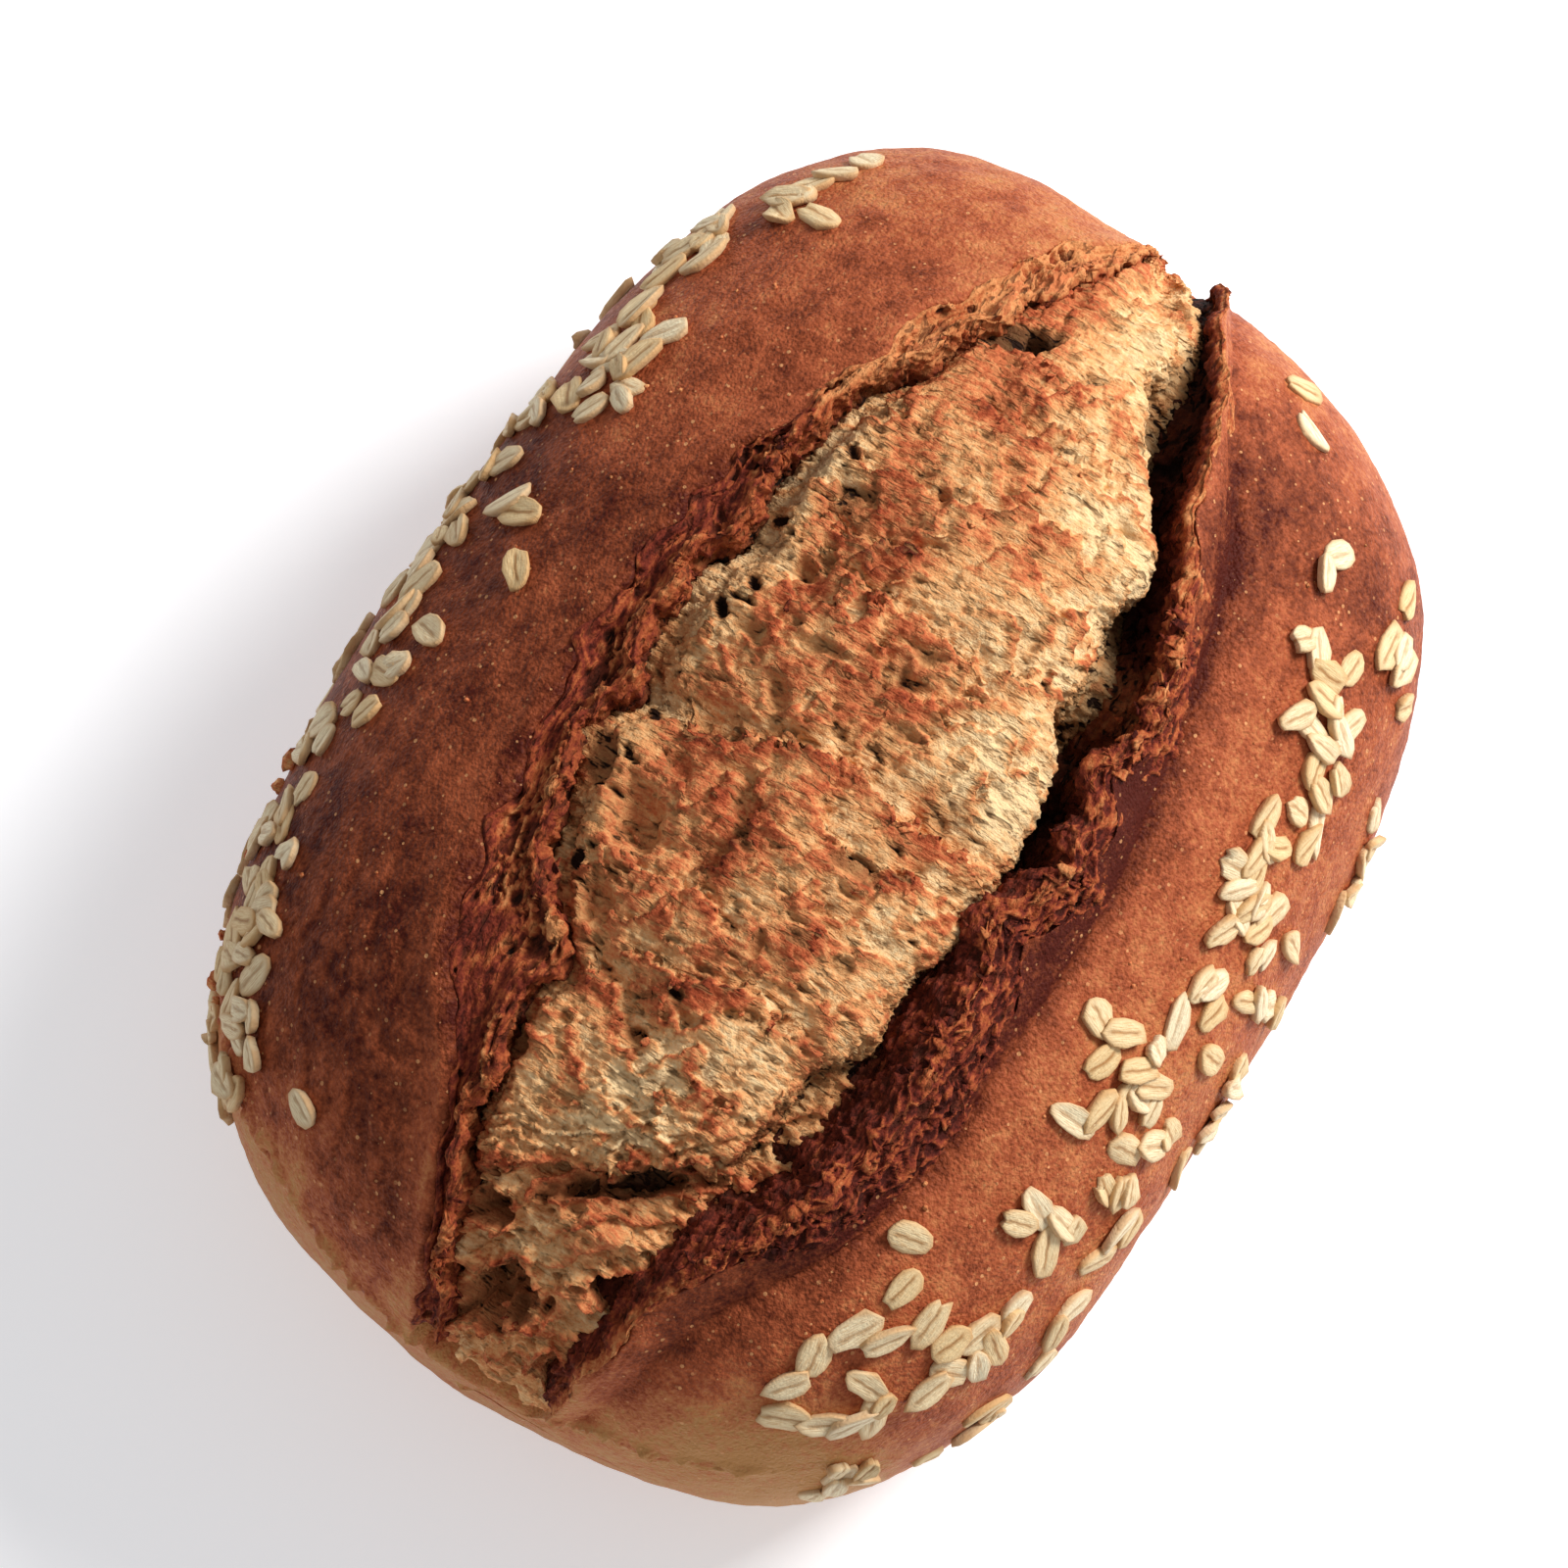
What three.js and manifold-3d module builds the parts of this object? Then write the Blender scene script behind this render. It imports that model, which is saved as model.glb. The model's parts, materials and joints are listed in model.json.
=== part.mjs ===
// Oat bread: a long hearth loaf that tore open along its top as it baked, with rolled oats baked
// on to both long sides. Millimetres, +Z up, X along the loaf, -Y the side with the lifted ear.
// The origin is on the flat base, under the middle of the loaf's box.
//
// The loaf is a skin of stations and lines. A station is a closed ring across the loaf, and its
// angle phi runs from 0 at the +X end to 180 at the -X end. A line runs from end to end, and its
// angle theta is 0 at the widest level on the -Y side, 90 on top and 180 on the +Y side.

import * as THREE from "three";
import { mergeVertices } from "three/addons/utils/BufferGeometryUtils.js";
import Module from "manifold-3d";

// ---- Driving dimensions of the loaf ----

const HALF_LENGTH = 105;
const HALF_WIDTH = 76.5;
const DOME_HEIGHT = 89; // of the smooth dome, before the crumb swells out of it
const WAIST_HEIGHT = 33; // of the widest level
const BASE_TRIM = 6; // how far the round form goes on below the flat base, where it is cut off
const CENTRE_SHIFT = { x: -1.2, y: -0.3 }; // brings the middle of the box to the origin

// How far each corner of the plan is drawn out, along +X.
const CORNER_DRAW = { farPlusY: 11, farMinusY: -5, nearPlusY: 6, nearMinusY: 3 };

// Powers of the rounded outlines: 2 is an ellipse, and more is squarer.
const PLAN_POWER = 3.1;
const CROWN_POWER = 2.8;
const BELLY_POWER = 5;
const ROOF_POWER = 2.3;
const FLANK_POWER = 3.4;

// ---- The torn top, at stations 15 degrees apart from phi = 15 to phi = 165 ----

const TEAR_STEP = 15;
const TEAR = {
  // Where the lines of the tear lie, as parts of the station's half width.
  crease: [-0.5, -0.34, -0.35, -0.5, -0.58, -0.63, -0.62, -0.6, -0.48, -0.54, -0.75],
  ear: [-0.35, -0.25, -0.3, -0.39, -0.5, -0.49, -0.49, -0.48, -0.34, -0.4, -0.6],
  crumbEdge: [-0.1, -0.06, -0.07, -0.26, -0.35, -0.42, -0.37, -0.29, -0.18, -0.17, -0.25],
  rim: [0.08, 0.04, 0.1, 0.26, 0.37, 0.41, 0.37, 0.24, 0.18, 0.1, 0.12],
  lip: [0.2, 0.11, 0.14, 0.28, 0.44, 0.51, 0.5, 0.43, 0.25, 0.22, 0.35],
  // How deep the two clefts go, and how far the ear and the crumb rise, in millimetres.
  earCleft: [0, 4, 8, 15, 15, 13, 12, 11, 7, 4, 0],
  rimCleft: [0, 1, 3, 5, 5, 4, 4, 5, 6, 4, 0],
  earRise: [0, 2, 3, 4, 4, 3.5, 3, 3, 2.5, 1.5, 0],
  crumbRise: [0, -3, -1, 3, 4, 4, 4, 2, -3, -3, 0],
};
const CREASE_DEPTH = 1.6;
const RIM_RISE = 1.5; // of the torn edge along the shallow cleft
const LIP_RISE = 1; // of the edge where the smooth crust begins
const BAND_SINK = 0.8; // of the rough band between the rim and the lip
const UNDERCUT = 0.02; // how far the ear overhangs its cleft, as a part of the half width
const RAGGED_WIDTH = 0.014; // how far torn edges stray sideways, as a part of the half width
const RAGGED_RISE = 0.9; // how far torn surfaces stray up and down
const CALM_ENDS = [15, 35]; // degrees over which the torn relief grows from each end
const TERRACE_RISE = 1.1; // of the steps that the crumb tore into
const TERRACE_PITCH = 21;

// ---- How finely the skin is divided ----

const STATIONS = 70;
const FIRST_STATION = 4; // degrees from the end
const SIDE_LINES = 5; // from the widest level up to the tear, on each side
const BELLY_ANGLES = [-12, -28, -46, -66]; // lines below the widest level

// ---- Rolled oats ----

const OAT = { length: [6.2, 9.4], width: [3.9, 5.6], thickness: 1.1, sunk: 3.2, sides: 8 };
const OAT_SPACING = 6; // between the middles of two flakes
const OAT_SPREAD = { phi: 5, theta: 7 }; // of a clump, in degrees
const OAT_LEAN = 12; // most that a flake tips out of the crust, in degrees

// Each clump is its station, its line and how many flakes were pressed on there.
const CLUMPS = [
  // -Y side
  [41, 58, 2], [53, 50, 2], [60, 46, 3], [66, 38, 10], [72, 32, 10], [79, 36, 11], [84, 22, 10],
  [90, 32, 5], [98, 41, 10], [103, 31, 13], [94, 9, 6], [112, 36, 6], [112, 17, 6], [124, 29, 11],
  [123, 47, 3], [134, 38, 11], [129, 47, 4], [138, 18, 8], [70, 8, 7], [126, 4, 6], [55, 25, 5],
  // +Y side
  [51, 137, 9], [60, 147, 11], [70, 143, 12], [73, 133, 3], [78, 136, 2], [77, 152, 11],
  [86, 140, 4], [85, 155, 11], [94, 146, 8], [101, 148, 13], [108, 152, 10], [117, 153, 10],
  [124, 149, 13], [131, 148, 12], [137, 147, 10], [132, 129, 1], [66, 172, 9], [84, 176, 9],
  [102, 173, 9], [120, 176, 9], [135, 168, 8],
];

const CRUST_COLOUR = 0x9c5a38;

const wasm = await Module();
wasm.setup();

// ---- Small helpers ----

/** A seeded row of draws from 0 to 1. */
function makeDraws(seed) {
  let state = seed;
  return () => {
    state = (state * 1664525 + 1013904223) % 4294967296;
    return state / 4294967296;
  };
}

const mix = (low, high, share) => low + (high - low) * share;
const radians = (degrees) => (degrees * Math.PI) / 180;

/** The point of a rounded outline of half size 1 that lies in the direction of an angle. */
function onOutline(angle, power) {
  const [c, s] = [Math.cos(angle), Math.sin(angle)];
  const reach = (Math.abs(c) ** power + Math.abs(s) ** power) ** (-1 / power);
  return [reach * c, reach * s];
}

/** How far across a rounded outline still reaches at a share of its other half size. */
const remaining = (share, power) => Math.max(0, 1 - Math.abs(share) ** power) ** (1 / power);

/** A smooth curve through one row of the tear's table, read at phi in degrees. */
function readRow(row, phi) {
  const place = THREE.MathUtils.clamp(phi / TEAR_STEP - 1, 0, row.length - 1);
  const at = Math.min(Math.floor(place), row.length - 2);
  const share = place - at;
  const [a, b] = [row[at], row[at + 1]];
  const slopeA = at > 0 ? (b - row[at - 1]) / 2 : b - a;
  const slopeB = at + 2 < row.length ? (row[at + 2] - a) / 2 : b - a;
  const bend = share * (1 - share);
  return mix(a, b, share * share * (3 - 2 * share)) + bend * ((1 - share) * slopeA - share * slopeB);
}

/** Turns an indexed closed surface into a solid that can be joined and cut. */
function toSolid(geometry) {
  const bare = geometry.clone();
  bare.deleteAttribute("normal");
  bare.deleteAttribute("uv");
  const merged = mergeVertices(bare, 1e-4);
  return new wasm.Manifold(new wasm.Mesh({
    numProp: 3,
    vertProperties: merged.attributes.position.array,
    triVerts: merged.index.array,
  }));
}

/** Turns a solid back into a surface. */
function toGeometry(solid) {
  const mesh = solid.getMesh();
  const geometry = new THREE.BufferGeometry();
  geometry.setAttribute("position", new THREE.BufferAttribute(mesh.vertProperties, 3));
  geometry.setIndex(new THREE.BufferAttribute(mesh.triVerts, 1));
  geometry.computeVertexNormals();
  return geometry;
}

// ---- The loaf's smooth form ----

/** Slow swellings of the dough, which die out at both ends. */
function swelling(phi, theta) {
  const calm = Math.sin(phi) ** 2;
  const long = 0.9 * Math.sin(3 * phi + 1.1) * Math.sin(2 * theta + 0.4);
  const short = 0.5 * Math.sin(7 * phi - 0.6) * Math.cos(3 * theta + 0.8);
  return calm * (long + short);
}

/** The smooth dough at a station and line, both in radians. */
function doughAt(phi, theta) {
  const [along] = onOutline(phi, PLAN_POWER);
  const upper = Math.sin(theta) >= 0;
  const [across, up] = onOutline(theta, upper ? ROOF_POWER : FLANK_POWER);
  const rise = upper
    ? (DOME_HEIGHT - WAIST_HEIGHT) * remaining(along, CROWN_POWER)
    : (WAIST_HEIGHT + BASE_TRIM) * remaining(along, BELLY_POWER);
  const swell = 1 + swelling(phi, theta) / HALF_WIDTH;
  const side = -across * remaining(along, PLAN_POWER) * swell;
  const end = along > 0 ? "far" : "near";
  const corner = CORNER_DRAW[end + (side > 0 ? "PlusY" : "MinusY")];
  return new THREE.Vector3(
    HALF_LENGTH * along + corner * along ** 2 * Math.abs(side) + CENTRE_SHIFT.x,
    HALF_WIDTH * side + CENTRE_SHIFT.y,
    WAIST_HEIGHT + rise * up * swell,
  );
}

/** The outward direction of the smooth dough. */
function outwardAt(phi, theta) {
  const step = 1e-3;
  const along = doughAt(phi + step, theta).sub(doughAt(phi - step, theta));
  const around = doughAt(phi, theta + step).sub(doughAt(phi, theta - step));
  return around.cross(along).normalize();
}

/** The line angle at which a station reaches a part of its half width, -1 to 1, on the roof. */
const roofAngle = (part) => Math.atan2(remaining(part, ROOF_POWER), -part);

// ---- The skin with its tear ----

/** The lines across one station, from the crease over the tear to the lip: part and rise. */
function tearLines(phi) {
  const at = Object.fromEntries(Object.keys(TEAR).map((name) => [name, readRow(TEAR[name], phi)]));
  const open = Math.min(1, at.rimCleft / 3);
  const cleftFoot = mix(at.crumbEdge, at.ear, 0.35);
  const crumbStart = at.crumbEdge + 0.05 * (at.rim - at.crumbEdge);
  const crumbEnd = at.rim - 0.2 * (at.rim - at.crumbEdge);
  const crumb = (share) => mix(crumbStart, crumbEnd, share);
  return [
    { part: at.crease, rise: -CREASE_DEPTH * open },
    { part: mix(at.crease, at.ear, 0.5), rise: 0.5 * at.earRise, torn: 0.4 },
    { part: at.ear, rise: at.earRise, torn: 1 },
    { part: at.ear - UNDERCUT, rise: 0.1 * at.earRise - 0.25 * at.earCleft, torn: 0.6 },
    { part: at.ear - 0.3 * UNDERCUT, rise: -0.9 * at.earCleft, torn: 0.6 },
    { part: cleftFoot, rise: -at.earCleft, torn: 1 },
    { part: at.crumbEdge, rise: -0.45 * at.earCleft, torn: 1 },
    { part: crumbStart, rise: 0.2 * at.crumbRise, torn: 1, terraced: 0.5 },
    { part: crumb(0.2), rise: 0.7 * at.crumbRise, torn: 0.7, terraced: 1 },
    { part: crumb(0.4), rise: at.crumbRise, torn: 0.7, terraced: 1 },
    { part: crumb(0.6), rise: 0.9 * at.crumbRise, torn: 0.7, terraced: 1 },
    { part: crumb(0.8), rise: 0.5 * at.crumbRise, torn: 0.7, terraced: 1 },
    { part: crumb(1), rise: -0.2 * at.rimCleft, torn: 1, terraced: 0.5 },
    { part: mix(crumbEnd, at.rim, 0.6), rise: -at.rimCleft, torn: 1 },
    { part: at.rim, rise: RIM_RISE * open, torn: 1 },
    { part: mix(at.rim, at.lip, 0.5), rise: -BAND_SINK * open, torn: 0.8 },
    { part: at.lip, rise: LIP_RISE * open, torn: 0.7 },
  ];
}

/** The points of one closed ring of the skin, from under the base round by the -Y side. */
function stationRing(phi, draws) {
  const degrees = THREE.MathUtils.radToDeg(phi);
  const tear = tearLines(degrees);
  const roughness = THREE.MathUtils.smoothstep(Math.min(degrees, 180 - degrees), ...CALM_ENDS);
  const tearStart = roofAngle(tear[0].part);
  const tearEnd = roofAngle(tear.at(-1).part);
  const points = [];
  const place = (theta, rise = 0) => {
    points.push(doughAt(phi, theta).addScaledVector(outwardAt(phi, theta), rise));
  };

  place(radians(-90));
  [...BELLY_ANGLES].reverse().forEach((angle) => place(radians(angle)));
  for (let i = 0; i < SIDE_LINES; i++) {
    place(tearStart * (i / SIDE_LINES));
  }
  for (const { part, rise, torn = 0, terraced = 0 } of tear) {
    const stray = torn * roughness * RAGGED_WIDTH * (2 * draws() - 1);
    const lift = torn * roughness * RAGGED_RISE * (2 * draws() - 1);
    const along = HALF_LENGTH * Math.cos(phi) + 0.8 * HALF_WIDTH * part;
    const step = terraced * TERRACE_RISE * Math.sin((2 * Math.PI * along) / TERRACE_PITCH);
    place(roofAngle(part + stray), rise + lift + roughness * step);
  }
  for (let i = SIDE_LINES - 1; i >= 0; i--) {
    place(Math.PI - (Math.PI - tearEnd) * (i / SIDE_LINES));
  }
  BELLY_ANGLES.forEach((angle) => place(radians(180 - angle)));
  return points;
}

/** The whole skin: rings joined from the +X pole to the -X pole. */
function loafSkin() {
  const draws = makeDraws(2024);
  const rings = [];
  for (let i = 0; i < STATIONS; i++) {
    const phi = radians(mix(FIRST_STATION, 180 - FIRST_STATION, i / (STATIONS - 1)));
    rings.push(stationRing(phi, draws));
  }
  const lines = rings[0].length;
  const points = [doughAt(0, 0), ...rings.flat(), doughAt(Math.PI, 0)];
  const last = points.length - 1;
  const at = (station, line) => 1 + station * lines + (line % lines);
  const triangles = [];
  for (let line = 0; line < lines; line++) {
    triangles.push(0, at(0, line + 1), at(0, line));
    for (let station = 0; station + 1 < STATIONS; station++) {
      const [a, b] = [at(station, line), at(station, line + 1)];
      const [c, d] = [at(station + 1, line), at(station + 1, line + 1)];
      triangles.push(a, d, c, a, b, d);
    }
    triangles.push(last, at(STATIONS - 1, line), at(STATIONS - 1, line + 1));
  }
  const skin = new THREE.BufferGeometry().setFromPoints(points);
  skin.setIndex(triangles);
  return skin;
}

/** The block that takes off what is below the flat base. */
function underBase() {
  const block = new THREE.BoxGeometry(4 * HALF_LENGTH, 4 * HALF_WIDTH, 2 * WAIST_HEIGHT);
  block.translate(0, 0, -WAIST_HEIGHT);
  return block;
}

// ---- Rolled oats ----

/** One flake, lying in the XY plane: an oval with a crowned top and a keel that sits in the crust. */
function oatFlake(length, width) {
  const { thickness, sunk, sides } = OAT;
  const points = [];
  for (let i = 0; i < sides; i++) {
    const angle = (2 * Math.PI * (i + 0.5)) / sides;
    const taper = 1 - 0.12 * Math.cos(angle);
    const x = 0.5 * length * Math.cos(angle);
    const y = 0.5 * width * taper * Math.sin(angle);
    points.push(new THREE.Vector3(x, y, 0.55 * thickness));
  }
  points.push(new THREE.Vector3(0, 0, thickness), new THREE.Vector3(0, 0, -sunk));
  const [crown, keel] = [sides, sides + 1];
  const triangles = [];
  for (let i = 0; i < sides; i++) {
    const next = (i + 1) % sides;
    triangles.push(i, next, crown, next, i, keel);
  }
  const flake = new THREE.BufferGeometry().setFromPoints(points);
  flake.setIndex(triangles);
  return flake;
}

/** Draws every flake of every clump, and keeps those that lie clear of the ones before. */
function chooseOats() {
  const draws = makeDraws(77);
  const spread = () => draws() + draws() + draws() - 1.5;
  const kept = [];
  for (const [phiMiddle, thetaMiddle, count] of CLUMPS) {
    for (let i = 0; i < count; i++) {
      const phi = radians(phiMiddle + OAT_SPREAD.phi * spread());
      const theta = radians(thetaMiddle + OAT_SPREAD.theta * spread());
      const oat = {
        spot: doughAt(phi, theta),
        outward: outwardAt(phi, theta),
        length: mix(...OAT.length, draws()),
        width: mix(...OAT.width, draws()),
        spin: Math.PI * draws(),
        lean: radians(OAT_LEAN * (2 * draws() - 1)),
      };
      if (kept.every((other) => other.spot.distanceTo(oat.spot) > OAT_SPACING)) {
        kept.push(oat);
      }
    }
  }
  return kept;
}

/** A flake turned flat on to the crust at its spot. */
function placedOat({ spot, outward, length, width, spin, lean }) {
  const flake = oatFlake(length, width);
  const turn = new THREE.Quaternion().setFromUnitVectors(new THREE.Vector3(0, 0, 1), outward);
  flake.applyMatrix4(new THREE.Matrix4().makeRotationX(lean));
  flake.applyMatrix4(new THREE.Matrix4().makeRotationZ(spin));
  flake.applyQuaternion(turn);
  flake.translate(spot.x, spot.y, spot.z);
  return flake;
}

// ---- The loaf ----

/** The torn loaf on its flat base, with every flake baked on to it. */
function oatLoaf() {
  let loaf = toSolid(loafSkin()).subtract(toSolid(underBase()));
  for (const oat of chooseOats()) {
    loaf = loaf.add(toSolid(placedOat(oat)));
  }
  const crust = new THREE.MeshStandardMaterial({ color: CRUST_COLOUR, roughness: 0.6, metalness: 0 });
  const mesh = new THREE.Mesh(toGeometry(loaf), crust);
  mesh.name = "oat_loaf";
  return mesh;
}

const group = new THREE.Group();
group.add(oatLoaf());

export default group;
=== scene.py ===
"""The look of an oat bread: a long hearth loaf, torn open along its top, with rolled oats on both sides.

Every size in the classes is in millimetres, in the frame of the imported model: X along the loaf, +Z
up, -Y the side with the lifted ear, and the origin on the flat base. Meshes are written in metres.
"""

import json
import logging
import math
from collections.abc import Callable
from dataclasses import dataclass, field
from enum import Enum
from functools import partial
from itertools import product

import bpy
import numpy as np
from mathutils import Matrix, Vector

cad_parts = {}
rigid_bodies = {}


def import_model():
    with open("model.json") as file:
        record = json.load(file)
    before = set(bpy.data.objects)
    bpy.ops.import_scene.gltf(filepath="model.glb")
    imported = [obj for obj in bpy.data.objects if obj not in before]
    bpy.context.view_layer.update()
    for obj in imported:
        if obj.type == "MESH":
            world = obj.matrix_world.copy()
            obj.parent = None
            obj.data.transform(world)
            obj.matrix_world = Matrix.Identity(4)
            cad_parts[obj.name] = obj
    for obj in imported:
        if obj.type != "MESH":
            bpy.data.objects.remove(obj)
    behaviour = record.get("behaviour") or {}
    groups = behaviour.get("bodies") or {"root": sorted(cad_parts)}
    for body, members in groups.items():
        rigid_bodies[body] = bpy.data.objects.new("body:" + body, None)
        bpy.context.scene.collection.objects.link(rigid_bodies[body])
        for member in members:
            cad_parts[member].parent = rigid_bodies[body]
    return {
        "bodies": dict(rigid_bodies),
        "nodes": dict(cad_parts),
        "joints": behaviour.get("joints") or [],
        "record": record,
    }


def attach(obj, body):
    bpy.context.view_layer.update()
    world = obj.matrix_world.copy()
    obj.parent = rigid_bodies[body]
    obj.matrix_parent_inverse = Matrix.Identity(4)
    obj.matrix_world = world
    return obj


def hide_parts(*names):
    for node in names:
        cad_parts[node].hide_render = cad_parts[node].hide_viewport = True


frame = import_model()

log = logging.getLogger("oat bread")
Array = np.ndarray
Size = float | tuple[float, float, float]
METRE = 1000.0  # millimetres


# ---- Curves and noise ----


def smooth(value: Array, low: float, high: float) -> Array:
    """An S-shaped rise from 0 at low to 1 at high: t squared times (3 - 2 t).

    Args:
        value: where to read it.
        low: where the rise begins.
        high: where it ends. It may lie below low, and then the curve falls.

    Returns:
        The rise, from 0 to 1, in the shape of value.
    """
    t = np.clip((value - low) / (high - low), 0.0, 1.0)
    return t * t * (3.0 - 2.0 * t)


def bell(value: Array, middle: float, width: float) -> Array:
    """exp(-(distance from the middle / width) squared)."""
    return np.exp(-(((value - middle) / width) ** 2))


def mix(low: Array, high: Array, share: Array) -> Array:
    """low + (high - low) times share."""
    return low + (high - low) * share


def zone(points: Array, *factors: tuple) -> Array:
    """A product of curves over x, y and z that says where something lies.

    Args:
        points: places in mm.
        factors: for each curve its axis and its two numbers in mm, and bell where it isn't smooth.

    Returns:
        The product, from 0 to 1.
    """
    share = 1.0
    for axis, first, second, *curve in factors:
        share = share * (curve[0] if curve else smooth)(points[..., "xyz".index(axis)], first, second)
    return share


def moved(points: Array, along: Array, across: Array) -> Array:
    """The points moved along X and Y by so many mm."""
    return points + np.stack([along, across, 0 * along], -1)


def lattice_hash(corners: Array, seed: int) -> Array:
    """A number of 32 mixed bits for each cell of a lattice.

    Args:
        corners: whole numbers, with x, y and z on the last axis.
        seed: a different one gives unrelated bits.

    Returns:
        Unsigned 32-bit numbers, one for each cell.
    """
    c = corners.astype(np.uint32)
    h = c[..., 0] * np.uint32(0x8DA6B343) ^ c[..., 1] * np.uint32(0xD8163841) ^ c[..., 2] * np.uint32(0xCB1AB31F)
    h = h ^ np.uint32((seed * 0x9E3779B9) & 0xFFFFFFFF)
    for shift, factor in ((15, 0x2C1B3C6D), (12, 0x297A2D39)):
        h = (h ^ (h >> np.uint32(shift))) * np.uint32(factor)
    return h ^ (h >> np.uint32(15))


def draws_of(bits: Array, axis: int) -> Array:
    """Ten of a cell's bits for one axis, a whole number from 0 to 1023."""
    return (bits >> np.uint32(10 * axis)) & np.uint32(1023)


def gradient_noise(points: Array, seed: int) -> Array:
    """Smooth random hills of about one lattice step: at each corner a random slope, faded in between.

    Args:
        points: places in lattice steps, with x, y and z on the last axis.
        seed: picks the slopes.

    Returns:
        Heights, mostly from -1 to 1.
    """
    points = points.astype(np.float32)
    base = np.floor(points)
    f = points - base
    fade = f * f * f * (f * (f * 6 - 15) + 10)
    corner = base.astype(np.int64)
    total = np.zeros(points.shape[:-1], np.float32)
    for step in map(np.array, product((0, 1), repeat=3)):
        bits = lattice_hash(corner + step, seed)
        near = f - step.astype(np.float32)
        slope = sum(draws_of(bits, i) * near[..., i] for i in range(3)) / 511.5 - near.sum(-1)
        total += (np.prod(np.where(step == 1, fade, 1 - fade), axis=-1) * slope).astype(np.float32)
    return total * 1.5


def octave_sum(points: Array, size: Size, seed: int, octaves: int, gain: float,
               steps: tuple[float, float, int], shape: Callable[[Array], Array]) -> tuple[Array, float]:
    """Noise of several sizes, added up.

    Args:
        points: places in mm.
        size: the widest hills' size in mm, one number or one for each of x, y and z.
        seed: picks the hills.
        octaves: how many sizes there are.
        gain: how high each octave is, as a share of the one before.
        steps: how much finer each octave is, how far it is shifted, and the step of its seed.
        shape: turns each octave's noise into its height.

    Returns:
        The sum, and the sum of the octaves' weights.
    """
    finer, shift, hop = steps
    scaled = points / np.asarray(size, float)
    total, weight, full = 0.0, 1.0, 0.0
    for octave in range(octaves):
        total = total + weight * shape(gradient_noise(scaled * finer**octave + shift * octave, seed + hop * octave))
        full += weight
        weight *= gain
    return total, full


def hills(points: Array, size: Size, seed: int, octaves: int = 2, gain: float = 0.5) -> Array:
    """Random hills of a given size in mm, mostly from -1 to 1, with finer ones on them, half as wide each."""
    return octave_sum(points, size, seed, octaves, gain, (2.0, 31.7, 101), lambda noise: noise)[0]


def ridges(points: Array, size: Size, seed: int, octaves: int = 2) -> Array:
    """Sharp crests between rounded hollows: 1 - 2 times the size of each octave of hills, from -1 to 1."""
    total, full = octave_sum(points, size, seed, octaves, 0.5, (2.0, 11.3, 57), lambda noise: 1 - 2 * np.abs(noise))
    return total / full


def net(points: Array, size: Size, seed: int, octaves: int = 2, wall: float = 0.34) -> Array:
    """Thin walls round open hollows, from 0 to 1: 1 where hills cross zero, falling to 0 within wall."""
    total, full = octave_sum(points, size, seed, octaves, 0.6, (2.1, 23.9, 77),
                             lambda noise: smooth(np.abs(noise), wall, 0.0))
    return total / full


def gaps(points: Array, size: Size, seed: int, share: float = 0.4) -> Array:
    """Irregular holes, 0 to 1 deep: hills of two sizes, cut off so that a share of the ground is left."""
    return smooth(hills(points, size, seed, 2, 0.45), 0.72 - 0.55 * share, 1.0 - 0.45 * share)


def bubbles(points: Array, size: Size, seed: int) -> tuple[Array, Array, Array]:
    """Distances to random middles, one in each cell of a lattice, as between the bubbles of a foam.

    Args:
        points: places in mm.
        size: the cells' size in mm, one number or one for each of x, y and z.
        seed: picks the middles.

    Returns:
        The distance to the nearest middle and to the next, in cells, and a draw from 0 to 1 that
        belongs to the nearest.
    """
    scaled = (points / np.asarray(size, float)).astype(np.float32)
    base = np.floor(scaled).astype(np.int64)
    first = np.full(scaled.shape[:-1], 9.0, np.float32)
    second, draw = first.copy(), np.zeros_like(first)
    for step in product((-1, 0, 1), repeat=3):
        cell = base + np.array(step)
        bits = lattice_hash(cell, seed)
        gap = sum((scaled[..., i] - (cell[..., i] + draws_of(bits, i) / np.float32(1023))) ** 2 for i in range(3))
        gap = np.sqrt(gap).astype(np.float32)
        closer = gap < first
        second = np.where(closer, first, np.minimum(second, gap))
        draw = np.where(closer, (bits & np.uint32(4095)) / np.float32(4095), draw)
        first = np.where(closer, gap, first)
    return first, second, draw


def cells(points: Array, size: Size, seed: int, share: float = 0.6, reach: float = 0.6) -> tuple[Array, Array]:
    """Torn-open bubbles of many widths.

    Args:
        points: places in mm.
        size: how far apart they lie in mm, along x, y and z.
        seed: picks them.
        share: which part of the lattice's cells has one.
        reach: the widest one's radius, in cells.

    Returns:
        How deep a place lies in a bubble, and how near to its rim, both from 0 to 1.
    """
    first, _, draw = bubbles(points, size, seed)
    r = first / (reach * (0.3 + 0.7 * draw / share))
    there = draw < share
    return np.where(there, smooth(r, 1.0, 0.5), 0.0), np.where(there, bell(r, 1.1, 0.16), 0.0)


def lace(points: Array, size: Size, seed: int, wall: float = 0.3) -> Array:
    """Thin walls between the cells of a foam: 1 halfway between two middles, falling to 0 within wall."""
    first, second, _ = bubbles(points, size, seed)
    return smooth(second - first, wall, 0.04)


def local_mean(values: Array, reach: int) -> Array:
    """The mean of a grid over a square window, worked out from running sums.

    Args:
        values: a grid of numbers or of points.
        reach: how many steps the window goes to each side.

    Returns:
        A grid of the same shape.
    """
    size = 2 * reach + 1
    for axis in (0, 1):
        pad = [(0, 0)] * values.ndim
        pad[axis] = (reach + 1, reach)
        sums = np.pad(values, pad, mode="edge").cumsum(axis)
        rows = values.shape[axis]
        values = (np.take(sums, range(size, size + rows), axis) - np.take(sums, range(rows), axis)) / size
    return values


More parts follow.
